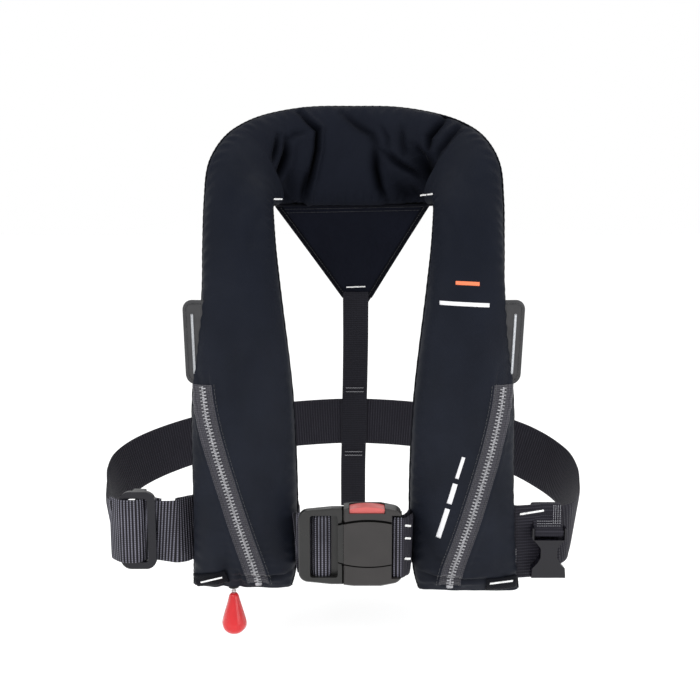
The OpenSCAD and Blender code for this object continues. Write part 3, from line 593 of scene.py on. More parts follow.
def zip_distance(t, v, side):
    """Millimetres over the cover from the zip's centre line, positive towards the outer edge."""
    s = station(t, side)
    z = np.minimum(zip_v(s, side), 0.985)
    _, _, _, half, front, _ = section(t)
    return np.sign(v - z) * np.hypot(half * (v - z), front * (bulge(v) - bulge(z)))


SPINE_T = np.linspace(0, HEM_END, 600)
SPINE = distances(section(SPINE_T)[0])


def zip_relief(tt, vv, side, run, grid, seed):
    """The cover's channel under the zip's tape, with a soft rim and puckers beside it."""
    s = station(tt, side)
    away = np.abs(zip_distance(tt, vv, side))
    on_zip = smooth(s, 0.2, 0.5) * (1 - smooth(s, 3.15, 3.4))
    puckers = np.sin(run / 7.5 * TAU + 2 * lumps(grid, 15, seed + 9))
    return on_zip * (0.9 * ridge(away, 11.4, 2.4) + 0.35 * puckers * ridge(away, 15, 6)
                     - 1.5 * (1 - smooth(away, 7.4, 9.2)))


def hem_rows(edge, seam, flow, way):
    """Three rows that close the padding below its last row, with their flow; way is 1 at the first hem."""
    under = [edge + (seam - edge) * [0, share, 0] - [0, 0, deep]
             for share, deep in ((0.12, 0.5), (0.45, 0.8), (0.97, 0.8))]
    more = [flow - [way * past, 0, 0] for past in (2.0, 4.0, 6.0)]
    return np.stack(under)[::-way], np.stack(more)[::-way]


def cover_grid(t0, t1, face, rows, columns, side, marks, seed):
    """A detailed grid over the cover from station t0 to t1, with creases, puckers and, on a lobe, its hem."""
    t = np.linspace(t0, t1, rows)
    a = np.linspace(0, math.pi, columns)
    a = a + 0.12 * np.sin(2 * a)
    tt, vv = np.meshgrid(t, np.cos(a), indexing="ij")
    grid = on_cover(tt, vv, face)
    normal = grid_normals(grid)
    middle, _, out = section(tt)[:3]
    normal *= np.sign(np.sum(normal * out * face, axis=-1).mean())
    run = np.interp(tt, SPINE_T, SPINE)
    steps = np.linalg.norm(np.diff(grid, axis=1, prepend=grid[:, :1]), axis=-1)
    edge = 1 - np.abs(vv)
    # The padding's broad and small unevenness, which fades at its seams, and puckers along the seams
    broad, small = lumps(grid * [1, 1, 0.45], 34, seed), lumps(grid * [1.2, 1, 0.6], 12, seed + 3)
    height = (1.5 * broad + 0.5 * small) * smooth(edge, 0.0, 0.06)
    height += 0.45 * np.sin(run / 11 * TAU + 2.4 * lumps(grid, 22, seed + 5)) * ridge(edge, 0.10, 0.10)
    if side and face > 0:
        height += zip_relief(tt, vv, side, run, grid, seed)
    creases, fold_shade = strokes(grid, marks)
    height += creases
    grid = grid + normal * height[..., None]
    surface = {"t": t, "a": a, "grid": grid, "normal": normal}
    # The flow's third value carries the painted shade of the creases to the cloth's look.
    flow = np.stack([run, np.cumsum(steps, axis=1), fold_shade], -1)
    if side < 0:
        under, more = hem_rows(grid[0], middle[0], flow[0], 1)
        grid, flow = np.concatenate([under, grid]), np.concatenate([more, flow])
    elif side > 0:
        under, more = hem_rows(grid[-1], middle[-1], flow[-1], -1)
        grid, flow = np.concatenate([grid, under]), np.concatenate([flow, more])
    return grid, flow, surface


# Creases of each front: their line of (x, z), half width, depth (which also sets their painted shade) and how
# far one side stands up
RIGHT_MARKS = [
    ([(-98, -334), (-78, -336), (-60, -335), (-52, -331)], 2.2, 2.6, 1.2),
    ([(-137, -338), (-126, -335), (-114, -332)], 3.0, 1.4, 0.8),
    ([(-116, -352), (-111, -336), (-110, -318)], 3.5, 2.6, 1.4),
    ([(-100, -352), (-98, -340), (-99, -326)], 3.0, 2.2, -0.8),
    ([(-84, -240), (-70, -262), (-58, -270)], 7, 1.2, 0.6),
    ([(-104, -120), (-98, -180), (-96, -230)], 9, 1.4, 0.8),
    ([(-70, -120), (-66, -150), (-60, -190)], 6, 1.1, 0.7),
    ([(-90, 20), (-104, -10), (-106, -50)], 8, 1.2, 0.8),
    ([(-78, -20), (-86, -38), (-88, -62)], 5, 1.3, 0.8)]
LEFT_MARKS = [
    ([(54, -331), (70, -336), (96, -338), (124, -338)], 2.2, 2.6, 1.2),
    ([(128, -334), (138, -338), (144, -342)], 3.0, 1.6, 0.8),
    ([(60, -300), (72, -320), (90, -330)], 6, 1.4, 0.8),
    ([(98, -120), (92, -170), (88, -230)], 9, 1.4, 0.8),
    ([(72, -110), (68, -150), (62, -190)], 6, 1.1, -0.7),
    ([(120, -250), (126, -280), (132, -305)], 6, 1.3, 0.8),
    ([(92, 20), (106, -10), (108, -50)], 8, 1.2, -0.8),
    ([(78, -20), (86, -38), (90, -66)], 5, 1.3, -0.8)]
# The collar's broad, deep marks also darken its hollows with painted shade.
COLLAR_MARKS = [
    ([(-52, 76), (-43, 66), (-34, 58), (-35, 38), (-41, 10), (-48, -13)], 2.0, 7.5, 3.0),
    ([(-50, -14), (-46, 2), (-42, 18)], 3.4, 5.5, -1.5),
    ([(-71, 50), (-72, 41), (-75, 24)], 2.0, 5.5, 1.6),
    ([(-63, 47), (-64, 33), (-68, 16), (-74, 4)], 2.8, 7.5, 2.0),
    ([(-80, 12), (-70, -4), (-58, -12)], 6.5, 6.0, 0.5),
    ([(-62, 20), (-58, 0), (-56, -13)], 6.0, 4.0, 0.5),
    ([(-44, 56), (-56, 52), (-62, 44)], 3.0, 2.6, 1.2),
    ([(-10, 75), (4, 64), (18, 54), (24, 40)], 3.6, 4.6, -2.0),
    ([(21, 42), (22, 20), (26, 2), (33, -12)], 3.2, 7.0, -2.2),
    ([(30, 36), (42, 26), (56, 17), (66, 4)], 3.0, 5.4, 2.0),
    ([(27, 62), (33, 50), (34, 38)], 2.6, 3.0, -1.2),
    ([(46, 58), (47, 44), (50, 30)], 3.0, 3.6, 1.6),
    ([(60, 34), (66, 24), (69, 10), (71, -6)], 8.0, 10.0, 1.0),
    ([(40, 8), (48, -4), (60, -13)], 8.0, 5.0, 0.3),
    ([(52, 6), (58, -6), (66, -13)], 6.0, 5.0, -1.0),
    ([(90, 70), (79, 60), (71, 50), (69, 34)], 2.2, 6.4, -2.4),
    ([(101, 60), (88, 48), (79, 36), (74, 24)], 2.4, 5.0, -2.0),
    ([(58, 42), (64, 34), (66, 26)], 2.2, 4.6, 1.4)]


COVER_THICK = 1.3
COLLAR_FINENESS = 1.5  # how much closer the collar's front columns are than a lobe's


def horseshoe():
    """The lobes and the collar, each with a front and a back; returns each one's grid and its surface."""
    fine = 1
    rows, columns = int(300 * fine), int(96 * fine)
    made = {}
    for part, t0, t1, cloth, slot, side, marks, fills in (
            ("right_lobe", 0, SHOULDER, COVER, "cover_fabric", -1, RIGHT_MARKS, (0.6, 0.5)),
            ("left_lobe", HEM_END - SHOULDER, HEM_END, COVER, "cover_fabric", 1, LEFT_MARKS, (0.6, 0.5)),
            ("collar", SHOULDER, HEM_END - SHOULDER, COLLAR, "collar_fabric", 0, COLLAR_MARKS, (0.4, 0.4))):
        width = columns if side else int(columns * COLLAR_FINENESS)
        for name, node, face, n, m, folds, seed, look, its_slot, fill in (
                (f"{part}_front", f"{part}_cover", 1, rows, width, marks, 1, cloth, slot, fills[0]),
                (f"{part}_back", f"{part}_lining", -1, rows // 2, columns // 2, (), 2, LINING,
                 "lining_fabric", fills[1])):
            grid, flow, surface = cover_grid(t0, t1, face, n, m, side, folds, seed)
            batch = Batch()
            batch.skin(grid, (0, -face, 0), COVER_THICK, flow)
            piece = batch.build(name, look, slot=its_slot, replaces=[node])
            made[name] = grid, surface
    return made


covers = horseshoe()


def on_piece(name, t, v):
    """The finished surface's points and outward directions at stations t and places v across it."""
    surface = covers[name][1]
    t, v = np.broadcast_arrays(np.asarray(t, float), np.asarray(v, float))
    rows, columns = surface["grid"].shape[:2]
    first, last = surface["t"][[0, -1]]
    i = np.clip((t - first) / (last - first) * (rows - 1), 0, rows - 1.001)
    j = np.interp(np.arccos(np.clip(v, -1, 1)), surface["a"], np.arange(columns))
    j = np.clip(j, 0, columns - 1.001)
    i0, j0 = i.astype(int), j.astype(int)
    fi, fj = (i - i0)[..., None], (j - j0)[..., None]
    found = []
    for values in (surface["grid"], surface["normal"]):
        low = values[i0, j0] * (1 - fj) + values[i0, j0 + 1] * fj
        high = values[i0 + 1, j0] * (1 - fj) + values[i0 + 1, j0 + 1] * fj
        found.append(low * (1 - fi) + high * fi)
    return found[0], unit(found[1])


def tree_of(*names):
    """A search tree over finished covers, in millimetres."""
    points, faces, first = [], [], 0
    for name in names:
        grid = covers[name][0]
        points.append(grid.reshape(-1, 3))
        faces += grid_faces(*grid.shape[:2], first=first)
        first += grid.shape[0] * grid.shape[1]
    return BVHTree.FromPolygons(np.concatenate(points).tolist(), faces)


FAR_FRONT, COVER_FRONT = -400, -110  # the y of a place before the jacket, and of one near its covers
front_tree = tree_of("right_lobe_front", "left_lobe_front", "collar_front")


def drop(x, z):
    """Where a straight line from the front meets the covers at each (x, z), and the way out of them."""
    places, outs = [], []
    for px, pz in zip(np.ravel(x), np.ravel(z)):
        place, out = front_tree.ray_cast(Vector((px, FAR_FRONT, pz)), Vector((0, 1, 0)))[:2]
        if place is None:
            place, out = front_tree.find_nearest(Vector((px, COVER_FRONT, pz)))[:2]
        places.append(place)
        outs.append(out if out.y < 0 else -out)
    shape = np.shape(x) + (3,)
    return np.array(places).reshape(shape), np.array(outs).reshape(shape)


def strip_on(batch, line, width, lift, thick, columns=7):
    """A thin strip laid on the covers along a line of (x, z)."""
    path, run = resample([[x, 0, z] for x, z in line], 1.5)
    side = np.cross(tangents(path), [0, 1, 0])
    w = np.linspace(-0.5, 0.5, columns) * width
    spread = path[:, None] + side[:, None] * w[:, None]
    place, out = drop(spread[..., 0], spread[..., 2])
    crown = (1 - (2 * w / width) ** 6)[None, :, None]
    top = place + out * (lift + thick * (0.4 + 0.6 * crown))
    batch.skin(top, out, thick, flow_of(run[:, None], w[None]))


# ---- seams of the horseshoe

def edge_piping():
    """Corded seams where the front and back covers meet."""
    batch = Batch()
    t = np.linspace(0.02, HEM_END - 0.02, 460)
    for v in (-1.0, 1.0):
        points = on_cover(t, v, 1) - section(t)[2] * GAP
        batch.tube(points, 1.15 + 0.12 * np.sin(np.linspace(0, 900, len(t))))
    batch.build("edge_piping", BINDING, slot="cover_fabric")


edge_piping()


# ---- zips

def zip_grid(name, side, s, offsets):
    """Points and directions on a lobe, offset across the zip by millimetres, positive outwards."""
    t = station(s, side)
    half = section(t)[3]
    v = np.minimum(zip_v(s, side), 0.93)[:, None] + offsets[None, :] / half[:, None]
    return on_piece(f"{name}_lobe_front", np.broadcast_to(t[:, None], v.shape), np.clip(v, -1, 0.999))


TOOTH_PITCH = 2.9
# Across the zip: place, half length along it, height of the tooth's foot and top
TOOTH = ((-3.3, 0.4, 0.6, 1.4), (-3.0, 0.62, 0.5, 1.8), (-0.6, 0.5, 0.5, 1.7),
         (0.1, 0.66, 0.55, 2.2), (0.7, 0.6, 0.6, 2.1), (1.0, 0.3, 0.8, 1.6))
END_STOP = ((-1, 0.6), (1, 0.6), (1, 2.2), (0.6, 2.6), (-0.6, 2.6), (-1, 2.2))


def zip_teeth(name, middle, up, run):
    """Interlocking teeth from alternate sides along the zip's middle line, and the stop at its lower end."""
    teeth = Batch()
    along = tangents(middle)
    for k in range(int(run[-1] / TOOTH_PITCH * 2) - 1):
        c, t, o = (read_at((k + 1) * TOOTH_PITCH / 2, run, values) for values in (middle, along, up))
        t, o = unit(t), unit(o)
        x = np.cross(t, o) * (1 if k % 2 else -1)
        teeth.loft([[c + x * across + t * half * share + o * high for share, high in
                     ((-1, low), (1, low), (1, top - 0.2), (0.6, top), (-0.6, top), (-1, top - 0.2))]
                    for across, half, low, top in TOOTH])
    across = unit(np.cross(along[0], up[0]))
    teeth.loft([[middle[0] + across * x * half + up[0] * high + along[0] * past for x, high in END_STOP]
                for past, half in ((-2.0, 2.4), (-1.6, 2.9), (0.2, 2.9), (0.6, 2.4))])
    teeth.build(f"{name}_zip_chain", TEETH, slot="zip_teeth", replaces=[f"{name}_zip_teeth"])


def zip_parts(name, side):
    """One lobe's zip: its tape, its chain of teeth and the rows of stitches beside it."""
    s = np.linspace(ZIP_LOW - 0.12, ZIP_HIGH, 260)
    w = np.linspace(-9.4, 9.0, 19)
    centre = len(w) // 2
    point, out = zip_grid(name, side, s, w)
    middle = point[:, centre]
    run = distances(middle)
    beside_teeth, edge = np.abs(w) > 3.2, np.abs(w) > 8.8
    ribs = 0.12 * np.cos(run / 1.05 * TAU / 2)[:, None] * beside_teeth
    top = point + out * (0.75 + ribs - 0.5 * edge)[..., None]
    batch = Batch()
    batch.skin(top, out, 0.6, flow_of(run[:, None], w[None]))
    batch.build(f"{name}_zip_tape_cloth", ZIP_TAPE, slot="zip_tape", replaces=[f"{name}_zip_tape"])
    zip_teeth(name, middle, out[:, centre], run)
    seams = Batch()
    for offset, lift, share in ((-11.6, 0.35, 1), (-7.9, 1.2, 1), (7.6, 1.2, 0.8)):
        p, o = (values[:int(len(s) * share), 0] for values in zip_grid(name, side, s, np.array([offset])))
        seams.seam(p + o * lift, o, 3.4, 2.5, 0.24)
    seams.build(f"{name}_zip_stitches", DARK_THREAD)


zip_parts("right", -1)
zip_parts("left", 1)


# ---- webbing

WEB_SIDES = 28


def webbing(batch, route, width, across=(0, 0, 1), thick=1.8, flare=0.0, pitch=2.7, rib=0.3):
    """Ribbed webbing along a route; width is one number, or one at each of equal steps of the route."""
    points, run = resample(route, pitch / 7)
    t = tangents(points)
    lean = np.zeros_like(points) + across
    lean[:, 0] += points[:, 0] * flare
    w = unit(lean - np.sum(lean * t, axis=1, keepdims=True) * t)
    n = np.cross(t, w)
    half = np.interp(run / run[-1], np.linspace(0, 1, np.size(width)), np.ravel(width))[:, None] / 2
    angle = np.arange(WEB_SIDES) * TAU / WEB_SIDES + 0.11
    c, h = np.cos(angle), np.sin(angle)
    u = np.sign(c) * np.abs(c) ** 0.28
    y = np.sign(h) * np.abs(h) ** 0.7
    wave = np.cos(run / pitch * TAU)[:, None]
    ribbed = rib * (0.05 + 0.5 * wave) * np.clip((1 - np.abs(u)) * 14, 0, 1) * np.sign(y)
    rings = points[:, None] + w[:, None] * (u * half)[..., None]
    rings += n[:, None] * (y * thick / 2 + ribbed)[..., None]
    batch.loft(rings, flow_of(run[:, None], u * half))


def web_piece(name, look, *webs, body="root", node=None):
    """A piece of webs, each given as its route, its width and webbing's other options."""
    batch = Batch()
    for route, width, options in webs:
        webbing(batch, route, width, **options)
    return batch.build(name, look, body=body, slot="webbing", replaces=[node] if node else [])


def level(z, *places):
    """A route through (x, y) places at one height."""
    return [[x, y, z] for x, y in places]


BUCKLE_Z = -296
BAR_X, BUCKLE_Y = 37.5, -140
BELT_WEB = {"flare": 0.0007}  # the belt leans outwards by this much for each millimetre from the middle
STRAP_WEB = {"across": (1, 0, 0), "pitch": 2.1, "rib": 0.16}
SEWN_END = [[47.4, -109, BUCKLE_Z - 7], [45.6, -118, BUCKLE_Z - 5], [44.6, -126, BUCKLE_Z - 3],
            [42.8, -132.5, BUCKLE_Z - 2], [40.6, -136.2, BUCKLE_Z - 2]]


def around_bar(degrees):
    """A point of the web round the socket's bar, which stands out more towards the buckle's middle."""
    a = math.radians(degrees)
    reach = 6.2 if 100 <= degrees <= 260 else 5.0
    return [BAR_X + reach * math.cos(a), BUCKLE_Y + 3.9 * math.sin(a), BUCKLE_Z - 2]


AROUND_BAR = [around_bar(degrees) for degrees in range(85, 280, 24)]
# The waist belt from the socket round the back to the buckle's tongue half
BELT = [
    [41.5, -143.4, -298], [45.4, -137, -298], [48, -126, -301], [49.8, -108, -305], [50.8, -97, -306.5],
    [54, -87, -306], [61, -79, -304.5], [71, -76, -303], [95, -75.3, -303], [122, -75.8, -305],
    [143, -83, -307], [160, -91, -307], [176, -95, -305.5], [191, -88, -302.5], [200, -70, -300],
    [206.5, -45, -295], [211, -16, -289], [210, 16, -284.5], [199, 46, -278.5], [178, 69, -270],
    [150, 86, -262], [110, 100, -254], [60, 110, -250], [20, 113, -248], [0, 113, -248], [-20, 113, -248],
    [-60, 110, -250], [-110, 100, -253], [-150, 83, -257], [-186, 57, -263], [-213, 28, -270],
    [-227, 0, -278], [-228, -28, -285], [-222, -56, -291], [-216, -82, -294], [-212.5, -95, -295],
    [-207.5, -103.2, -295], [-201, -105, -295], [-194, -105, -295], [-186, -105, -295.4],
    [-174, -105, -296.2], [-160, -105, -297.2], [-152.5, -103, -297.8], [-145.5, -96, -298.2],
    [-139.5, -88, -298.5], [-132, -81.5, -298.5], [-122, -77.6, -298.3], [-106, -75.6, -298.3],
    [-68, -75.5, -298.6], [-57, -78.5, -299.5], [-51.8, -86, -301.5], [-50, -97, -304]]
LEFT_BEND = BELT.index([-212.5, -95, -295])  # where the back stretch, in the shaded copy of the webbing, ends and the front one, in the lit copy, starts
BACK_WIDTHS = [52.4, 52.4, 51, 50, 50, 50, 50, 53, 54, 52, 51, 53, 56, 57, 57, 55, 53] + [50] * 16
FRONT_WIDTHS = [50.5, 51, 52, 53, 55, 57, 55, 53, 52, 51, 50, 48, 46, 45]
SECOND_LAYER = [
    [-47.2, -97, -304], [-48.6, -85, -301], [-53.5, -75, -298.5], [-66, -72, -297], [-106, -72, -297],
    [-122.8, -74.2, -298.3], [-133.8, -78.6, -298.5], [-141.8, -85.8, -298.4], [-147.8, -93.6, -298.1],
    [-154.2, -100, -297.7], [-157, -101.2, -297.5]]

web_piece("belt_webbing", WEB_SHADED, (SEWN_END + AROUND_BAR + BELT[:LEFT_BEND + 1], BACK_WIDTHS, BELT_WEB),
          node="waist_belt")
web_piece("front_belt_webbing", WEB_LIT, (BELT[LEFT_BEND:], FRONT_WIDTHS, BELT_WEB))
web_piece("sewn_end_webbing", WEB_LIT, (
    AROUND_BAR[2:] + [[39.6, -144, -298]], 52.6, {"flare": 0.0007, "thick": 2.2, "pitch": 2.4, "rib": 0.4}))
web_piece("belt_second_layer", WEB_LIT, (
    SECOND_LAYER, [45, 47, 50, 50, 50, 50, 52, 54, 56, 57], BELT_WEB), node="belt_return")

# The two layers between the lobe and the buckle's tongue half
LINK_LAYERS = (
    [[-50, -97, -304], [-49.6, -108, -304], [-48.8, -118, -302], [-48.2, -127, -299], [-47.6, -131.5, -297],
     [-45, -134.6, -297]],
    [[-47.2, -97, -304], [-46.4, -108, -304], [-45.4, -118, -302], [-44.6, -126, -299], [-42.6, -131, -297],
     [-38, -133.4, -297]])
LINK_WIDTHS = [45, 45, 46, 50]
link_piece = web_piece(
    "belt_to_buckle", WEB_LIT, *((route, LINK_WIDTHS, BELT_WEB) for route in LINK_LAYERS), body=None)
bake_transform(link_piece)

BUCKLE_LOOP = level(
    -297, (-45, -134.6), (-41, -135.3), (-36, -135.6), (-31, -136.2), (-26, -136.9), (-22.5, -137.2),
    (-20.0, -138.5), (-19.55, -140.2), (-20.6, -142.1), (-23.5, -143.2), (-27.5, -143.2), (-30.8, -142.2),
    (-33.4, -140), (-36.4, -137.6), (-40, -137.0), (-44, -136.3), (-47, -133.5))
web_piece("buckle_loop_webbing", WEB_LIT, (BUCKLE_LOOP, 52.4, {"pitch": 2.4, "rib": 0.4}),
          body="tongue_half", node="buckle_web_loop")
OVER_SLIDER = level(-295, (-211, -101.6), (-207.4, -105.5), (-203, -109.6), (-198.5, -112.3),
                    (-192.5, -112.9), (-187, -112.4), (-183.2, -109.4), (-180.6, -105.2))
OVER_SLIDER += [[-177, -103, -295.5], [-172, -102.4, -296.5]]
UNDER_SLIDER = level(-297, (-180.5, -101.5), (-186, -98.4), (-191.5, -99.2), (-192.8, -101), (-191, -103),
                     (-186, -103.4))
web_piece("slider_webbing", WEB_LIT, (OVER_SLIDER, 56.4, {"rib": 0.4}), (UNDER_SLIDER, 48, {}),
          body="slider", node="slider_web_loop")
web_piece("back_strap_webbing", STRAP, (
    [[3, 90.5, -104], [3, 95.5, -125], [3, 101, -160], [2.5, 107, -200], [2, 110, -225], [1.5, 110.4, -250],
     [1, 110.6, -275], [0.5, 112, -300], [0.5, 114, -344]], 27, STRAP_WEB), node="back_strap")
web_piece("tunnel_webbing", STRAP, (
    [[2.5, 109.5, -203], [2.2, 112.2, -213], [2, 115.6, -222], [1.5, 116, -248], [1, 115.8, -274],
     [0.8, 114.4, -283], [0.6, 114.6, -292]], 27, STRAP_WEB), node="strap_tunnel")

CROTCH_BAR = np.array([169, -107.5, -297])
AROUND_CROTCH_BAR = CROTCH_BAR + [
    [0, 8, 12], [0, 4.4, 6], [0, 1.6, 3.2], [0, -1.6, 2.6], [0, -3.2, 0.2], [0, -2, -2.6], [0, 0.8, -3.1],
    [0, 2.9, -1.2], [0, 4, 3], [0, 6.6, 8], [0, 8.2, 14]]
OVER_BELT = CROTCH_BAR + [
    [0, 8, 14], [0, 9, 18], [0, 13, 21], [0, 18, 19.5], [0, 21.5, 12], [0, 23, 0], [0, 23.2, -20],
    [0, 21, -36], [0, 16, -40.5], [0, 11.5, -38], [0, 9.6, -28], [0, 9.2, -14], [0, 9, 2]]
BESIDE = CROTCH_BAR + [[-18, 6.2, 22], [-17.5, 6.0, 8], [-17, 6.4, -10], [-16.4, 7.2, -26], [-16, 8.2, -44]]
web_piece("crotch_webbing", WEB_SHADED, (AROUND_CROTCH_BAR, 25, {"across": (1, 0, 0)}),
          (OVER_BELT, 25, {"across": (1, 0, 0)}), (BESIDE, 24, {"across": (1, 0.1, 0)}),
          node="crotch_web_loop")


# ---- yoke

YOKE_TOP, YOKE_BOTTOM = np.array([0, 46.5, -14.5]), np.array([4.5, 94, -110])


def yoke_half(f):
    """Half the yoke's width at f from its top (0) to its bottom (1)."""
    return 76 - 61 * f


def yoke_point(f, u):
    """A point on the yoke at f from its top to its bottom and u from -1 to 1 across it."""
    f, u = np.broadcast_arrays(np.asarray(f, float), np.asarray(u, float))
    folds = sum(high * ridge(u, place + lean * f, wide) for high, place, lean, wide in (
        (1.6, -0.62, 0.2, 0.09), (1.3, -0.25, 0, 0.12), (1.5, 0.33, 0.1, 0.10), (1.2, 0.74, 0, 0.07)))
    folds = folds * np.sin(np.clip(f * 1.25, 0, 1) * math.pi) ** 0.8
    sag = 4 * np.sin(np.clip(f, 0, 1) * math.pi) * (1 - 0.5 * u * u) + folds
    point = YOKE_TOP + (YOKE_BOTTOM - YOKE_TOP) * f[..., None]
    return point + np.stack([u * yoke_half(f), sag - 5.5 * (u * u) * (1 - f) ** 2, 1.5 * u * (1 - f)], -1)


# Across the edge tape: place outwards from the yoke's edge and height over the yoke
TAPE = np.array([
    (-6.0, 0.5), (-5.6, 0.95), (-0.4, 1.15), (0.7, 0.7), (0.9, 0), (0.7, -0.9), (-0.4, -1.5), (-5.6, -1.4),
    (-6.0, -0.9), (-5.5, -0.8), (-0.8, -0.8), (-0.5, 0.0), (-0.8, 0.5), (-5.5, 0.45)])


def yoke_parts():
    """The yoke's cloth, the tape round its slanted edges, and its rows of stitches."""
    f, u = np.meshgrid(np.linspace(-0.05, 1.05, 96), np.linspace(-1, 1, 110), indexing="ij")
    grid = yoke_point(f, u)
    grid[..., 1] += 0.5 * lumps(grid, 16, 3) + 0.25 * np.sin(u * 60) * ridge(f, 0, 0.08)
    batch = Batch()
    batch.skin(grid, FRONT, 0.7, flow_of(f * 105, u * yoke_half(f)))
    piece = batch.build("yoke_cloth", YOKE, slot="yoke_fabric", replaces=["yoke"])
    edges, seams = Batch(), Batch()
    fine = np.linspace(0, 1, 120)
    for side in (-1, 1):
        line = yoke_point(fine, side)
        across = unit(line - yoke_point(fine, side * (1 - 7.0 / yoke_half(fine))))
        out = unit(np.cross(across, tangents(line)))
        out *= np.sign(-out[:, 1:2])
        rings = line[:, None] + across[:, None] * TAPE[:, :1] + out[:, None] * TAPE[:, 1:]
        edges.loft(rings, flow_of((fine * 120)[:, None], TAPE[:, 0]))
        seams.seam(line - across * 4.4 + out * 1.05, out, 3.2, 2.3, 0.22)
    edges.build("yoke_edge_tape", BINDING, slot="binding_tape", replaces=["yoke_binding"])
    for f0 in (0.03, 0.065):
        line = yoke_point(f0, np.linspace(-0.92, 0.92, 120))
        seams.seam(line - [0, 0.5, 0], (0, -1, 0.2), 3.0, 2.2, 0.22)
    seams.build("yoke_stitches", DARK_THREAD)


yoke_parts()


# ---- bar tacks

EYE = (-3, -857.6, -32.5)  # where the camera stands
TACK_LIFT, TAB_LIFT = 0.6, 2.3  # a tack's height over a cover and over a hem tab
THREAD_PITCH = 0.5  # between a bar tack's threads


def bar_tack(batch, a, b, out, tall):
    """A close satin row of thread from a to b."""
    a, b, out = np.array(a, float), np.array(b, float), unit(np.array(out, float))
    length = np.linalg.norm(b - a)
    along = (b - a) / length
    side = np.cross(along, out)
    count = int(length / THREAD_PITCH)
    batch.tube(np.linspace(a, b, 6) + out * 0.1, 0.45, 6)
    for k in range(count + 1):
        centre = a + along * length * k / count
        tilt = side + along * 0.25 * (1 if k % 2 else -1)
        wide = tall * (0.9 + 0.1 * math.sin(k * 2.3))
        batch.stitch(centre + out * 0.25, tilt, out, wide, 0.32)


def surface_tack(batch, line):
    """A bar tack over a hem tab from one (x, z) to another."""
    (x0, z0), (x1, z1) = line
    place, out = drop(np.linspace(x0, x1, 9), np.linspace(z0, z1, 9))
    proud = max(0.0, float(np.max(place[[0, -1], 1].mean() - place[:, 1])))
    mean = unit(out.mean(axis=0))
    bar_tack(batch, *(place[[0, -1]] + mean * (TAB_LIFT + proud)), mean, 2.0)


def seen_tack(batch, a, b, tall):
    """A bar tack on the covers where they lie in front of the line from a to b, seen from EYE."""
    eye, places, outs = Vector(EYE), [], []
    for f in np.linspace(0, 1, 9):
        place, out = front_tree.ray_cast(eye, (Vector(a).lerp(Vector(b), f) - eye).normalized())[:2]
        if place is not None:
            places.append(np.array(place))
            outs.append(np.array(out if out.y < 0 else -out))
    mean = unit(np.mean(outs, axis=0))
    bar_tack(batch, places[0] + mean * TACK_LIFT, places[-1] + mean * TACK_LIFT, mean, tall)


def hem_parts():
    """The two hem tabs and every white bar tack."""
    tabs, white = Batch(), Batch()
    for line, mark in ((((-137.5, -341), (-109, -334.5)), ((-131.5, -336), (-112.5, -329))),
                       (((115, -342.5), (141.5, -341.5)), ((116.8, -339), (136.8, -338.2)))):
        strip_on(tabs, line, 13, 0.5, 1.5, columns=9)
        surface_tack(white, mark)
    tabs.build("hem_tab_webbing", BINDING, slot="webbing", replaces=["right_hem_tab", "left_hem_tab"])
    bar_tack(white, (-6.5, 88.0, -98.6), (12.8, 88.0, -98.0), (0, -1, -0.4), 1.6)
    seen_tack(white, (-76, 10, -9.4), (-69.2, 20, -9), 1.5)
    seen_tack(white, (66, 25, -5.6), (76, 8, -4.8), 1.5)
    for z in (-278.4, -289.2, -306.8):
        bar_tack(white, (42.4, -144.8, z), (47.0, -137.2, z - 3), (0.85, -0.52, 0), 1.9)
    bar_tack(white, CROTCH_BAR + [-24.5, 2.6, 15.0], CROTCH_BAR + [-4.5, 2.4, 18.4], FRONT, 2.0)
    white.build("white_bar_tacks", THREAD, slot="white_thread", replaces=["bar_tacks"])


hem_parts()


def strap_stitches():
    """Light double rows on the strap above and below the belt's tunnel, and the crotch patch's rows."""
    batch = Batch()
    for x, y, z in ((2.2, 106.0, -209.5), (2.2, 106.4, -213.8), (1.0, 108.9, -281.4), (1.0, 109.1, -285.4)):
        batch.seam(np.linspace([x - 9.5, y, z], [x + 9.5, y, z], 20), FRONT, 1.35, 1.3, 0.42, wander=0.5)
    for a, b, count, pitch, length in (
            [([dx, 3.6, 6], [dx, 3.6, 24], 12, 1.9, 1.35) for dx in (4.6, 6.4, 8.4, 10.4)]
            + [([-10, 2.2, dz], [11, 2.2, dz], 12, 1.9, 1.35) for dz in (4.6, 6.8, 9.0)]
            + [([-27.2, 3.4, -16], [-27.2, 3.4, -44], 16, 2.2, 1.5)]):
        batch.seam(np.linspace(CROTCH_BAR + a, CROTCH_BAR + b, count), FRONT, pitch, length, 0.3)
    batch.build("strap_stitches", GREY_THREAD, slot="white_thread")


strap_stitches()


# ---- side tabs

def corner_loop(width, height, radii, inset, points=9):
    """A closed loop of a rectangle with its own radius at each corner, drawn in by inset."""
    w, h = width / 2 - inset, height / 2 - inset
    loop = []
    for (sx, sz), start, radius in zip(((1, 1), (-1, 1), (-1, -1), (1, -1)), (0, 90, 180, 270), radii):
        r = max(radius - inset, 0.35)
        for k in range(points):
            a = math.radians(start + 90 * k / (points - 1))
            loop.append((sx * (w - r) + r * math.cos(a), sz * (h - r) + r * math.sin(a)))
    return np.array(loop)


# Each ring of a tab: how far it is drawn in and how far it stands out
TAB_RINGS = ((0.7, -1.2), (0, -0.8), (0, 0.5), (0.45, 1.0), (1.1, 1.2), (2.5, 1.25), (2.9, 0.85), (3.3, 0.85),
             (3.7, 1.2), (6.5, 1.25), (9.0, 1.25))
REFLECTOR_RINGS = ((0.2, 0.6), (0, 1.0), (0, 1.8), (0.35, 2.15), (0.8, 2.25))


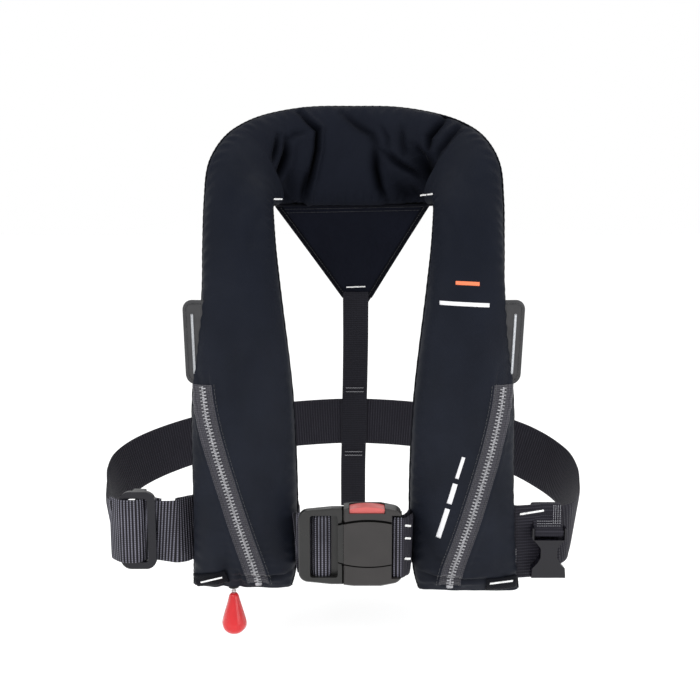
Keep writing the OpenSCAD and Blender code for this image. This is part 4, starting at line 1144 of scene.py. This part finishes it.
def side_tab(name, side, lean):
    """A side tab with its line of stitches and its reflective strip; lean moves its upper end outwards."""
    wide, tall, radii = 22, 71, (9, 2, 1.5, 8)

    def place(loop, lift):
        u, v = loop[:, 0], loop[:, 1]
        y = -104.5 + 0.012 * (u + 11) ** 2 + 0.10 * (v + 10) - lift
        return np.stack([side * (133.2 + u + lean * v), y, v - 132], -1)

    tab, rows, strip = Batch(), Batch(), Batch()
    tab.loft([place(corner_loop(wide, tall, radii, inset), lift) for inset, lift in TAB_RINGS])
    tab.build(f"{name}_tab", TAB, slot="tab_fabric", replaces=[f"{name}_side_tab"])
    line = corner_loop(wide, tall, radii, 3.1, 16)
    rows.seam(resample(place(np.concatenate([line, line[:1]]), 1.0), 0.8)[0], FRONT, 2.6, 1.9, 0.24)
    rows.build(f"{name}_tab_stitches", DARK_THREAD)
    strip.loft([place(corner_loop(2.4 - 2 * inset, 51 - 2 * inset, (1.0,) * 4, 0) + [2.4, -1.5], lift)
                for inset, lift in REFLECTOR_RINGS])
    strip.build(f"{name}_tab_reflector", REFLECTIVE, slot="reflective_tape",
                replaces=["side_tab_reflectors"] if side < 0 else [])


side_tab("right", -1, 0.045)
side_tab("left", 1, 0.06)


# ---- toggle and its cord

def revolve(batch, profile, centre, sides=72):
    """A solid of revolution about the vertical line through centre, smooth through the profile's (r, z)."""
    fine = np.linspace(0, len(profile) - 1, len(profile) * 5)
    points = rows_at(np.array([[r, 0, z] for r, z in profile]), fine)
    a = np.arange(sides) * TAU / sides
    circle = np.stack([np.cos(a), np.sin(a), 0 * a], -1)
    batch.loft([centre + circle * max(r, 0.02) + [0, 0, z] for r, _, z in points])


def coil(batch, middle, z, radius, angle, wire, sides=8):
    """A round wire that winds about the vertical line through middle, with its heights z and its angles."""
    x, y = middle[0] + radius * np.cos(angle), middle[1] + radius * np.sin(angle)
    batch.tube(np.stack([x, y, z], -1), wire, sides)


def middle_of(node):
    """The middle of a CAD node's box."""
    return sum(box_mm(node)) / 2


TOGGLE_TOP = -355.6
TOGGLE_PROFILE = [(0.9, 0.0), (2.2, 0.1), (3.3, -0.8), (4.1, -2.8), (5.0, -6.5), (6.4, -11.5), (8.2, -17.5),
                  (9.8, -23.5), (10.5, -27.6), (9.6, -31.8), (7.0, -35), (3.7, -36.6), (1.1, -36.9),
                  (0.05, -36.95)]


def toggle_parts():
    """The toggle's grip with its mould lines, and its cord of three strands with a knot above the grip."""
    x, y, _ = middle = middle_of("pull_toggle")
    grip, cord = Batch(), Batch()
    revolve(grip, TOGGLE_PROFILE, (x, y, TOGGLE_TOP))
    for way in (-1, 1):
        line = [[x + way * (r + 0.1), y, TOGGLE_TOP + z] for r, z in TOGGLE_PROFILE[2:-2]]
        grip.tube(resample(line, 1.0)[0], 0.22, 6)
    grip.build("toggle_grip", TOGGLE, body="toggle", slot="toggle_red", replaces=["pull_toggle"])
    z = np.linspace(-307, TOGGLE_TOP + 1, 140)
    for k in range(3):
        coil(cord, middle, z, 0.62, z / 5.2 * TAU + k * TAU / 3, 0.72, 7)
    a = np.linspace(0, TAU * 1.6, 40)
    coil(cord, middle, TOGGLE_TOP + 2.4 - 0.5 * a / TAU, 1.5, a, 0.7, 7)
    cord.build("toggle_cord", CORD, body="lanyard", slot="lanyard_cord", replaces=["pull_lanyard"])


toggle_parts()


# ---- plain marks in place of lettering

def plain_marks():
    """Five plain stripes on the wearer's left lobe."""
    pale, warm = Batch(), Batch()
    strip_on(warm, [(85, -81.5), (105, -82.5)], 3.2, 0.15, 0.35)
    for line, width in (([(72, -98), (113, -100)], 3.4), ([(72, -297), (79.4, -271)], 4.2),
                        ([(80.6, -266.5), (85.4, -249)], 4.2), ([(86.6, -244.5), (92, -226)], 3.0)):
        strip_on(pale, line, width, 0.15, 0.35)
    pale.build("plain_pale_stripes", PALE_PRINT, slot="white_thread")
    warm.build("plain_orange_stripe", WARM_PRINT, slot="whistle_orange")


plain_marks()


# ---- folded bladder inside the covers

def bladder_part():
    """The bladder, folded along both lobes and the collar; in the lobes it leaves room for the inflator."""
    batch = Batch()
    t = np.linspace(0.6, HEM_END - 0.6, 200)
    s = np.minimum(t, HEM_END - t)
    start = np.where(s < 4.2, 0.7, np.where(s < 5, 0.7 - (s - 4.2) * 0.75, 0.1))
    middle, across, out, half, front, back = section(t)
    a = np.linspace(0, TAU, 41)[:-1]
    low, high = half * (2 * start - 1), half * 0.8
    u = (low + high)[:, None] / 2 + np.cos(a) * (high - low)[:, None] / 2
    folds = 1 + 0.16 * np.cos(a * 6 + 0.8)
    up = np.sin(a) * folds * np.where(np.sin(a) > 0, (front - 2)[:, None] * 0.33, (back - 2)[:, None] * 0.4)
    rings = middle[:, None] + across[:, None] * u[..., None] + out[:, None] * up[..., None]
    batch.loft(rings, flow_of(np.interp(t, SPINE_T, SPINE)[:, None], a * 14))
    piece = batch.build("folded_bladder", BLADDER, slot="bladder_fabric", replaces=["bladder"])


bladder_part()


# ---- buckle details: painted shade in its gaps and along its raised band

# The buckle's raised band: its middle, its half height there, its rise over BUCKLE_Z, its arcs' radius
BOSS_X, BOSS_HALF, BOSS_RISE, BOSS_R = 12, 19, 3, 90


def band_edge(x, way):
    """Height of the raised band's upper (way 1) or lower (way -1) arc."""
    return BUCKLE_Z + BOSS_RISE + way * (BOSS_HALF - BOSS_R + np.sqrt(BOSS_R ** 2 - (x - BOSS_X) ** 2))


def dark_piece(name, batch, body, slot="rubber_black"):
    """Builds a piece of painted shade, which darkens a gap or a step of the buckle."""
    batch.build(name, SHADE_BLACK, body=body, slot=slot)


def post(name, body, x0, x1, rows):
    """A dark four-sided post of painted shade between x0 and x1, through rows of its z, front y and back y.
    """
    batch = Batch()
    batch.loft([[[x0, y, z], [x1, y, z], [x1, back, z], [x0, back, z]] for z, y, back in rows])
    dark_piece(name, batch, body)


def buckle_lines():
    """Painted shadows of the buckle: dark lines along the raised band, the split between the halves, the
    button and the web slots.
    """
    # Painted shadow: black tubes along the foot of the raised band's arcs.
    for name, x0, x1, y, body in (("socket_band_shadows", -8.0, 31.0, -147.85, "root"),
                                  ("frame_band_shadows", -12.8, -8.6, -146.65, "tongue_half")):
        batch = Batch()
        for way in (-1, 1):
            x = np.linspace(x0, x1, 30)
            batch.tube(np.stack([x, y + 0 * x, band_edge(x, way) + way * 0.7], -1), 0.95, 10)
        dark_piece(name, batch, body, "buckle_plastic")
    back = -139.4
    # Painted shade: a black sheet in the split between the two halves.
    post("split_shadow", "tongue_half", -9.9, -8.23, (
        (-328.2, -145.6, -140), (-327.2, -146.9, back), (-312.6, -146.9, back), (-311.8, -147.7, back),
        (-274.2, -147.7, back), (-273.4, -146.9, back), (-264.2, -146.9, back), (-263.2, -145.6, -140)))
    (x0, y, z0), (x1, _, z1) = box_mm("release_button")
    # Painted shade: black tubes in the recess at each end of the button.
    recess = Batch()
    for x in (x0 - 0.6, x1 + 0.6):
        recess.tube(np.linspace([x, y + 0.9, z0 + 2.5], [x, y + 0.9, z1 - 3.5], 8), 1.3, 10)
    dark_piece("button_recess_shadow", recess, "root")
    # Painted shade: dark plates in the web slot and the frame's window, where the background would show.
    for name, x0, x1, y, body in (("slot_shade", 29.6, 32.4, -139.5, "root"),
                                  ("window_shade", -19.4, -15.6, -136.5, "tongue_half")):
        post(name, body, x0, x1, [(BUCKLE_Z + dz, y, y + 0.8) for dz in (-26.5, 0, 26.5)])


buckle_lines()


# ---- springs and the lanyard's eyelet

WIRE = 0.4  # a spring wire's radius


def spring(node, turns, top):
    """A coil between the root and a sliding body; top is the upper radius as a share of the lower."""
    (x0, y0, z0), (x1, y1, z1) = box_mm(node)
    x, y, low, high = (x0 + x1) / 2, (y0 + y1) / 2, z0 + WIRE, z1 - WIRE
    f = np.linspace(0, 1, int(turns * 28))
    radius = ((x1 - x0) / 2 - WIRE) * (1 + (top - 1) * f)
    batch = Batch()
    coil(batch, (x, y), low + (high - low) * f, radius, f * turns * TAU, WIRE)
    piece = batch.build(f"{node}_wire", STEEL, body=None, slot="steel", replaces=[node])
    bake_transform(piece)


spring("latch_spring", 4, 0.72)
spring("valve_spring", 3, 0.62)


def grommet():
    """The hem's eyelet: a flange below and a sleeve up round the lanyard."""
    x, y, _ = middle_of("lanyard_grommet")
    z = box_mm("lanyard_grommet")[0][2] + 1.2
    batch = Batch()
    revolve(batch, [(2.1, 7.4), (3.1, 7.3), (3.2, 4), (3.3, 1.7), (4.5, 1.5), (4.7, 0.8), (4.3, 0.2),
                    (2.4, 0.1), (2.1, 0.6), (2.1, 4), (2.1, 7.2)], (x, y, z), sides=40)
    batch.build("lanyard_eyelet", RUBBER, slot="rubber_black", replaces=["lanyard_grommet"])


grommet()


# ---- rigid CAD parts

def dress(look, *names, bevel=0.0):
    """Gives CAD nodes their look and, where bevel is not 0, rounds their edges by that many millimetres."""
    for name in names:
        item = nodes[name]
        item.data.materials.clear()
        item.data.materials.append(look)
        if bevel:
            edge = item.modifiers.new("edges", "BEVEL")
            edge.width = bevel * MM
            edge.segments = 3
            edge.limit_method = "ANGLE"
            edge.angle_limit = math.radians(35)
            edge.harden_normals = True


dress(PLASTIC, "buckle_frame", "socket_back", bevel=0.35)
dress(FACE, "socket_front", bevel=0.35)
dress(SLIDER, "belt_slider", bevel=0.6)
dress(CROTCH, "crotch_buckle", bevel=1.0)
dress(RED, "release_button", bevel=0.4)
dress(PLASTIC, "frame_web_bar", "socket_web_bar")
dress(STEEL, "latch_plate", "lever_pin", "piercing_pin", "pin_spring")
dress(SLIDER_METAL, "zip_sliders", bevel=0.3)
dress(CYLINDER, "gas_cylinder")
dress(INFLATOR, "inflator_body", bevel=0.8)
dress(RED, "inflator_lever", bevel=0.3)
dress(RUBBER, "cylinder_washer", "oral_tube")
dress(MANIFOLD, "bladder_manifold")
dress(ORANGE, "whistle", "oral_valve", bevel=0.4)
dress(RUBBER, "oral_cap")


# ---- stage, camera and light

TOGGLE_TRAVEL, FLOOR_GAP = 30, 3  # how far the toggle pulls down, and the floor's distance below it


def stage():
    """A pale floor below the pulled toggle."""
    batch = Batch()
    far = 30000
    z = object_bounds()[0][2] / MM - TOGGLE_TRAVEL - FLOOR_GAP
    batch.add([[-far, -far, z], [far, -far, z], [far, far, z], [-far, far, z]], [[0, 1, 2, 3]])
    look = Look("floor_paper", (0.95, 0.95, 0.95), 0.9, specular=0.1)
    look.mottled(900, 0.01)
    look.shader.inputs["Emission Color"].default_value = (1, 1, 1, 1)
    look.shader.inputs["Emission Strength"].default_value = 0.12
    floor = batch.build("floor", look.material, body=None)
    floor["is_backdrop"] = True


def put(name, data, place):
    """A camera or a lamp at a place in metres."""
    made = bpy.data.objects.new(name, data)
    made.location = place
    bpy.context.scene.collection.objects.link(made)
    return made


def lamp(name, place, size, power):
    data = bpy.data.lights.new(name, "AREA")
    data.shape = "RECTANGLE"
    data.size, data.size_y = size
    data.energy = power
    aim = Vector((0, -0.02, -0.16)) - Vector(place)
    put(name, data, place).rotation_euler = aim.to_track_quat("-Z", "Y").to_euler()


def camera():
    data = bpy.data.cameras.new("camera")
    data.lens = 46.29
    data.sensor_width = 36
    view = put("camera", data, [v * MM for v in EYE])
    view.rotation_euler = (math.radians(82), 0, 0)
    bpy.context.scene.camera = view


stage()
camera()
lamp("key", (-0.9, -1.2, 0.7), (1.0, 1.0), 14)
lamp("fill", (1.2, -1.0, 0.2), (1.0, 1.2), 9)
lamp("top", (0.1, 0.2, 1.5), (1.6, 1.6), 6)
world = bpy.data.worlds.new("studio")
world.use_nodes = True
sky = world.node_tree.nodes["Background"].inputs
sky["Color"].default_value = (1, 1, 1, 1)
sky["Strength"].default_value = 1.0
bpy.context.scene.world = world
bpy.context.scene.view_settings.view_transform = "Standard"
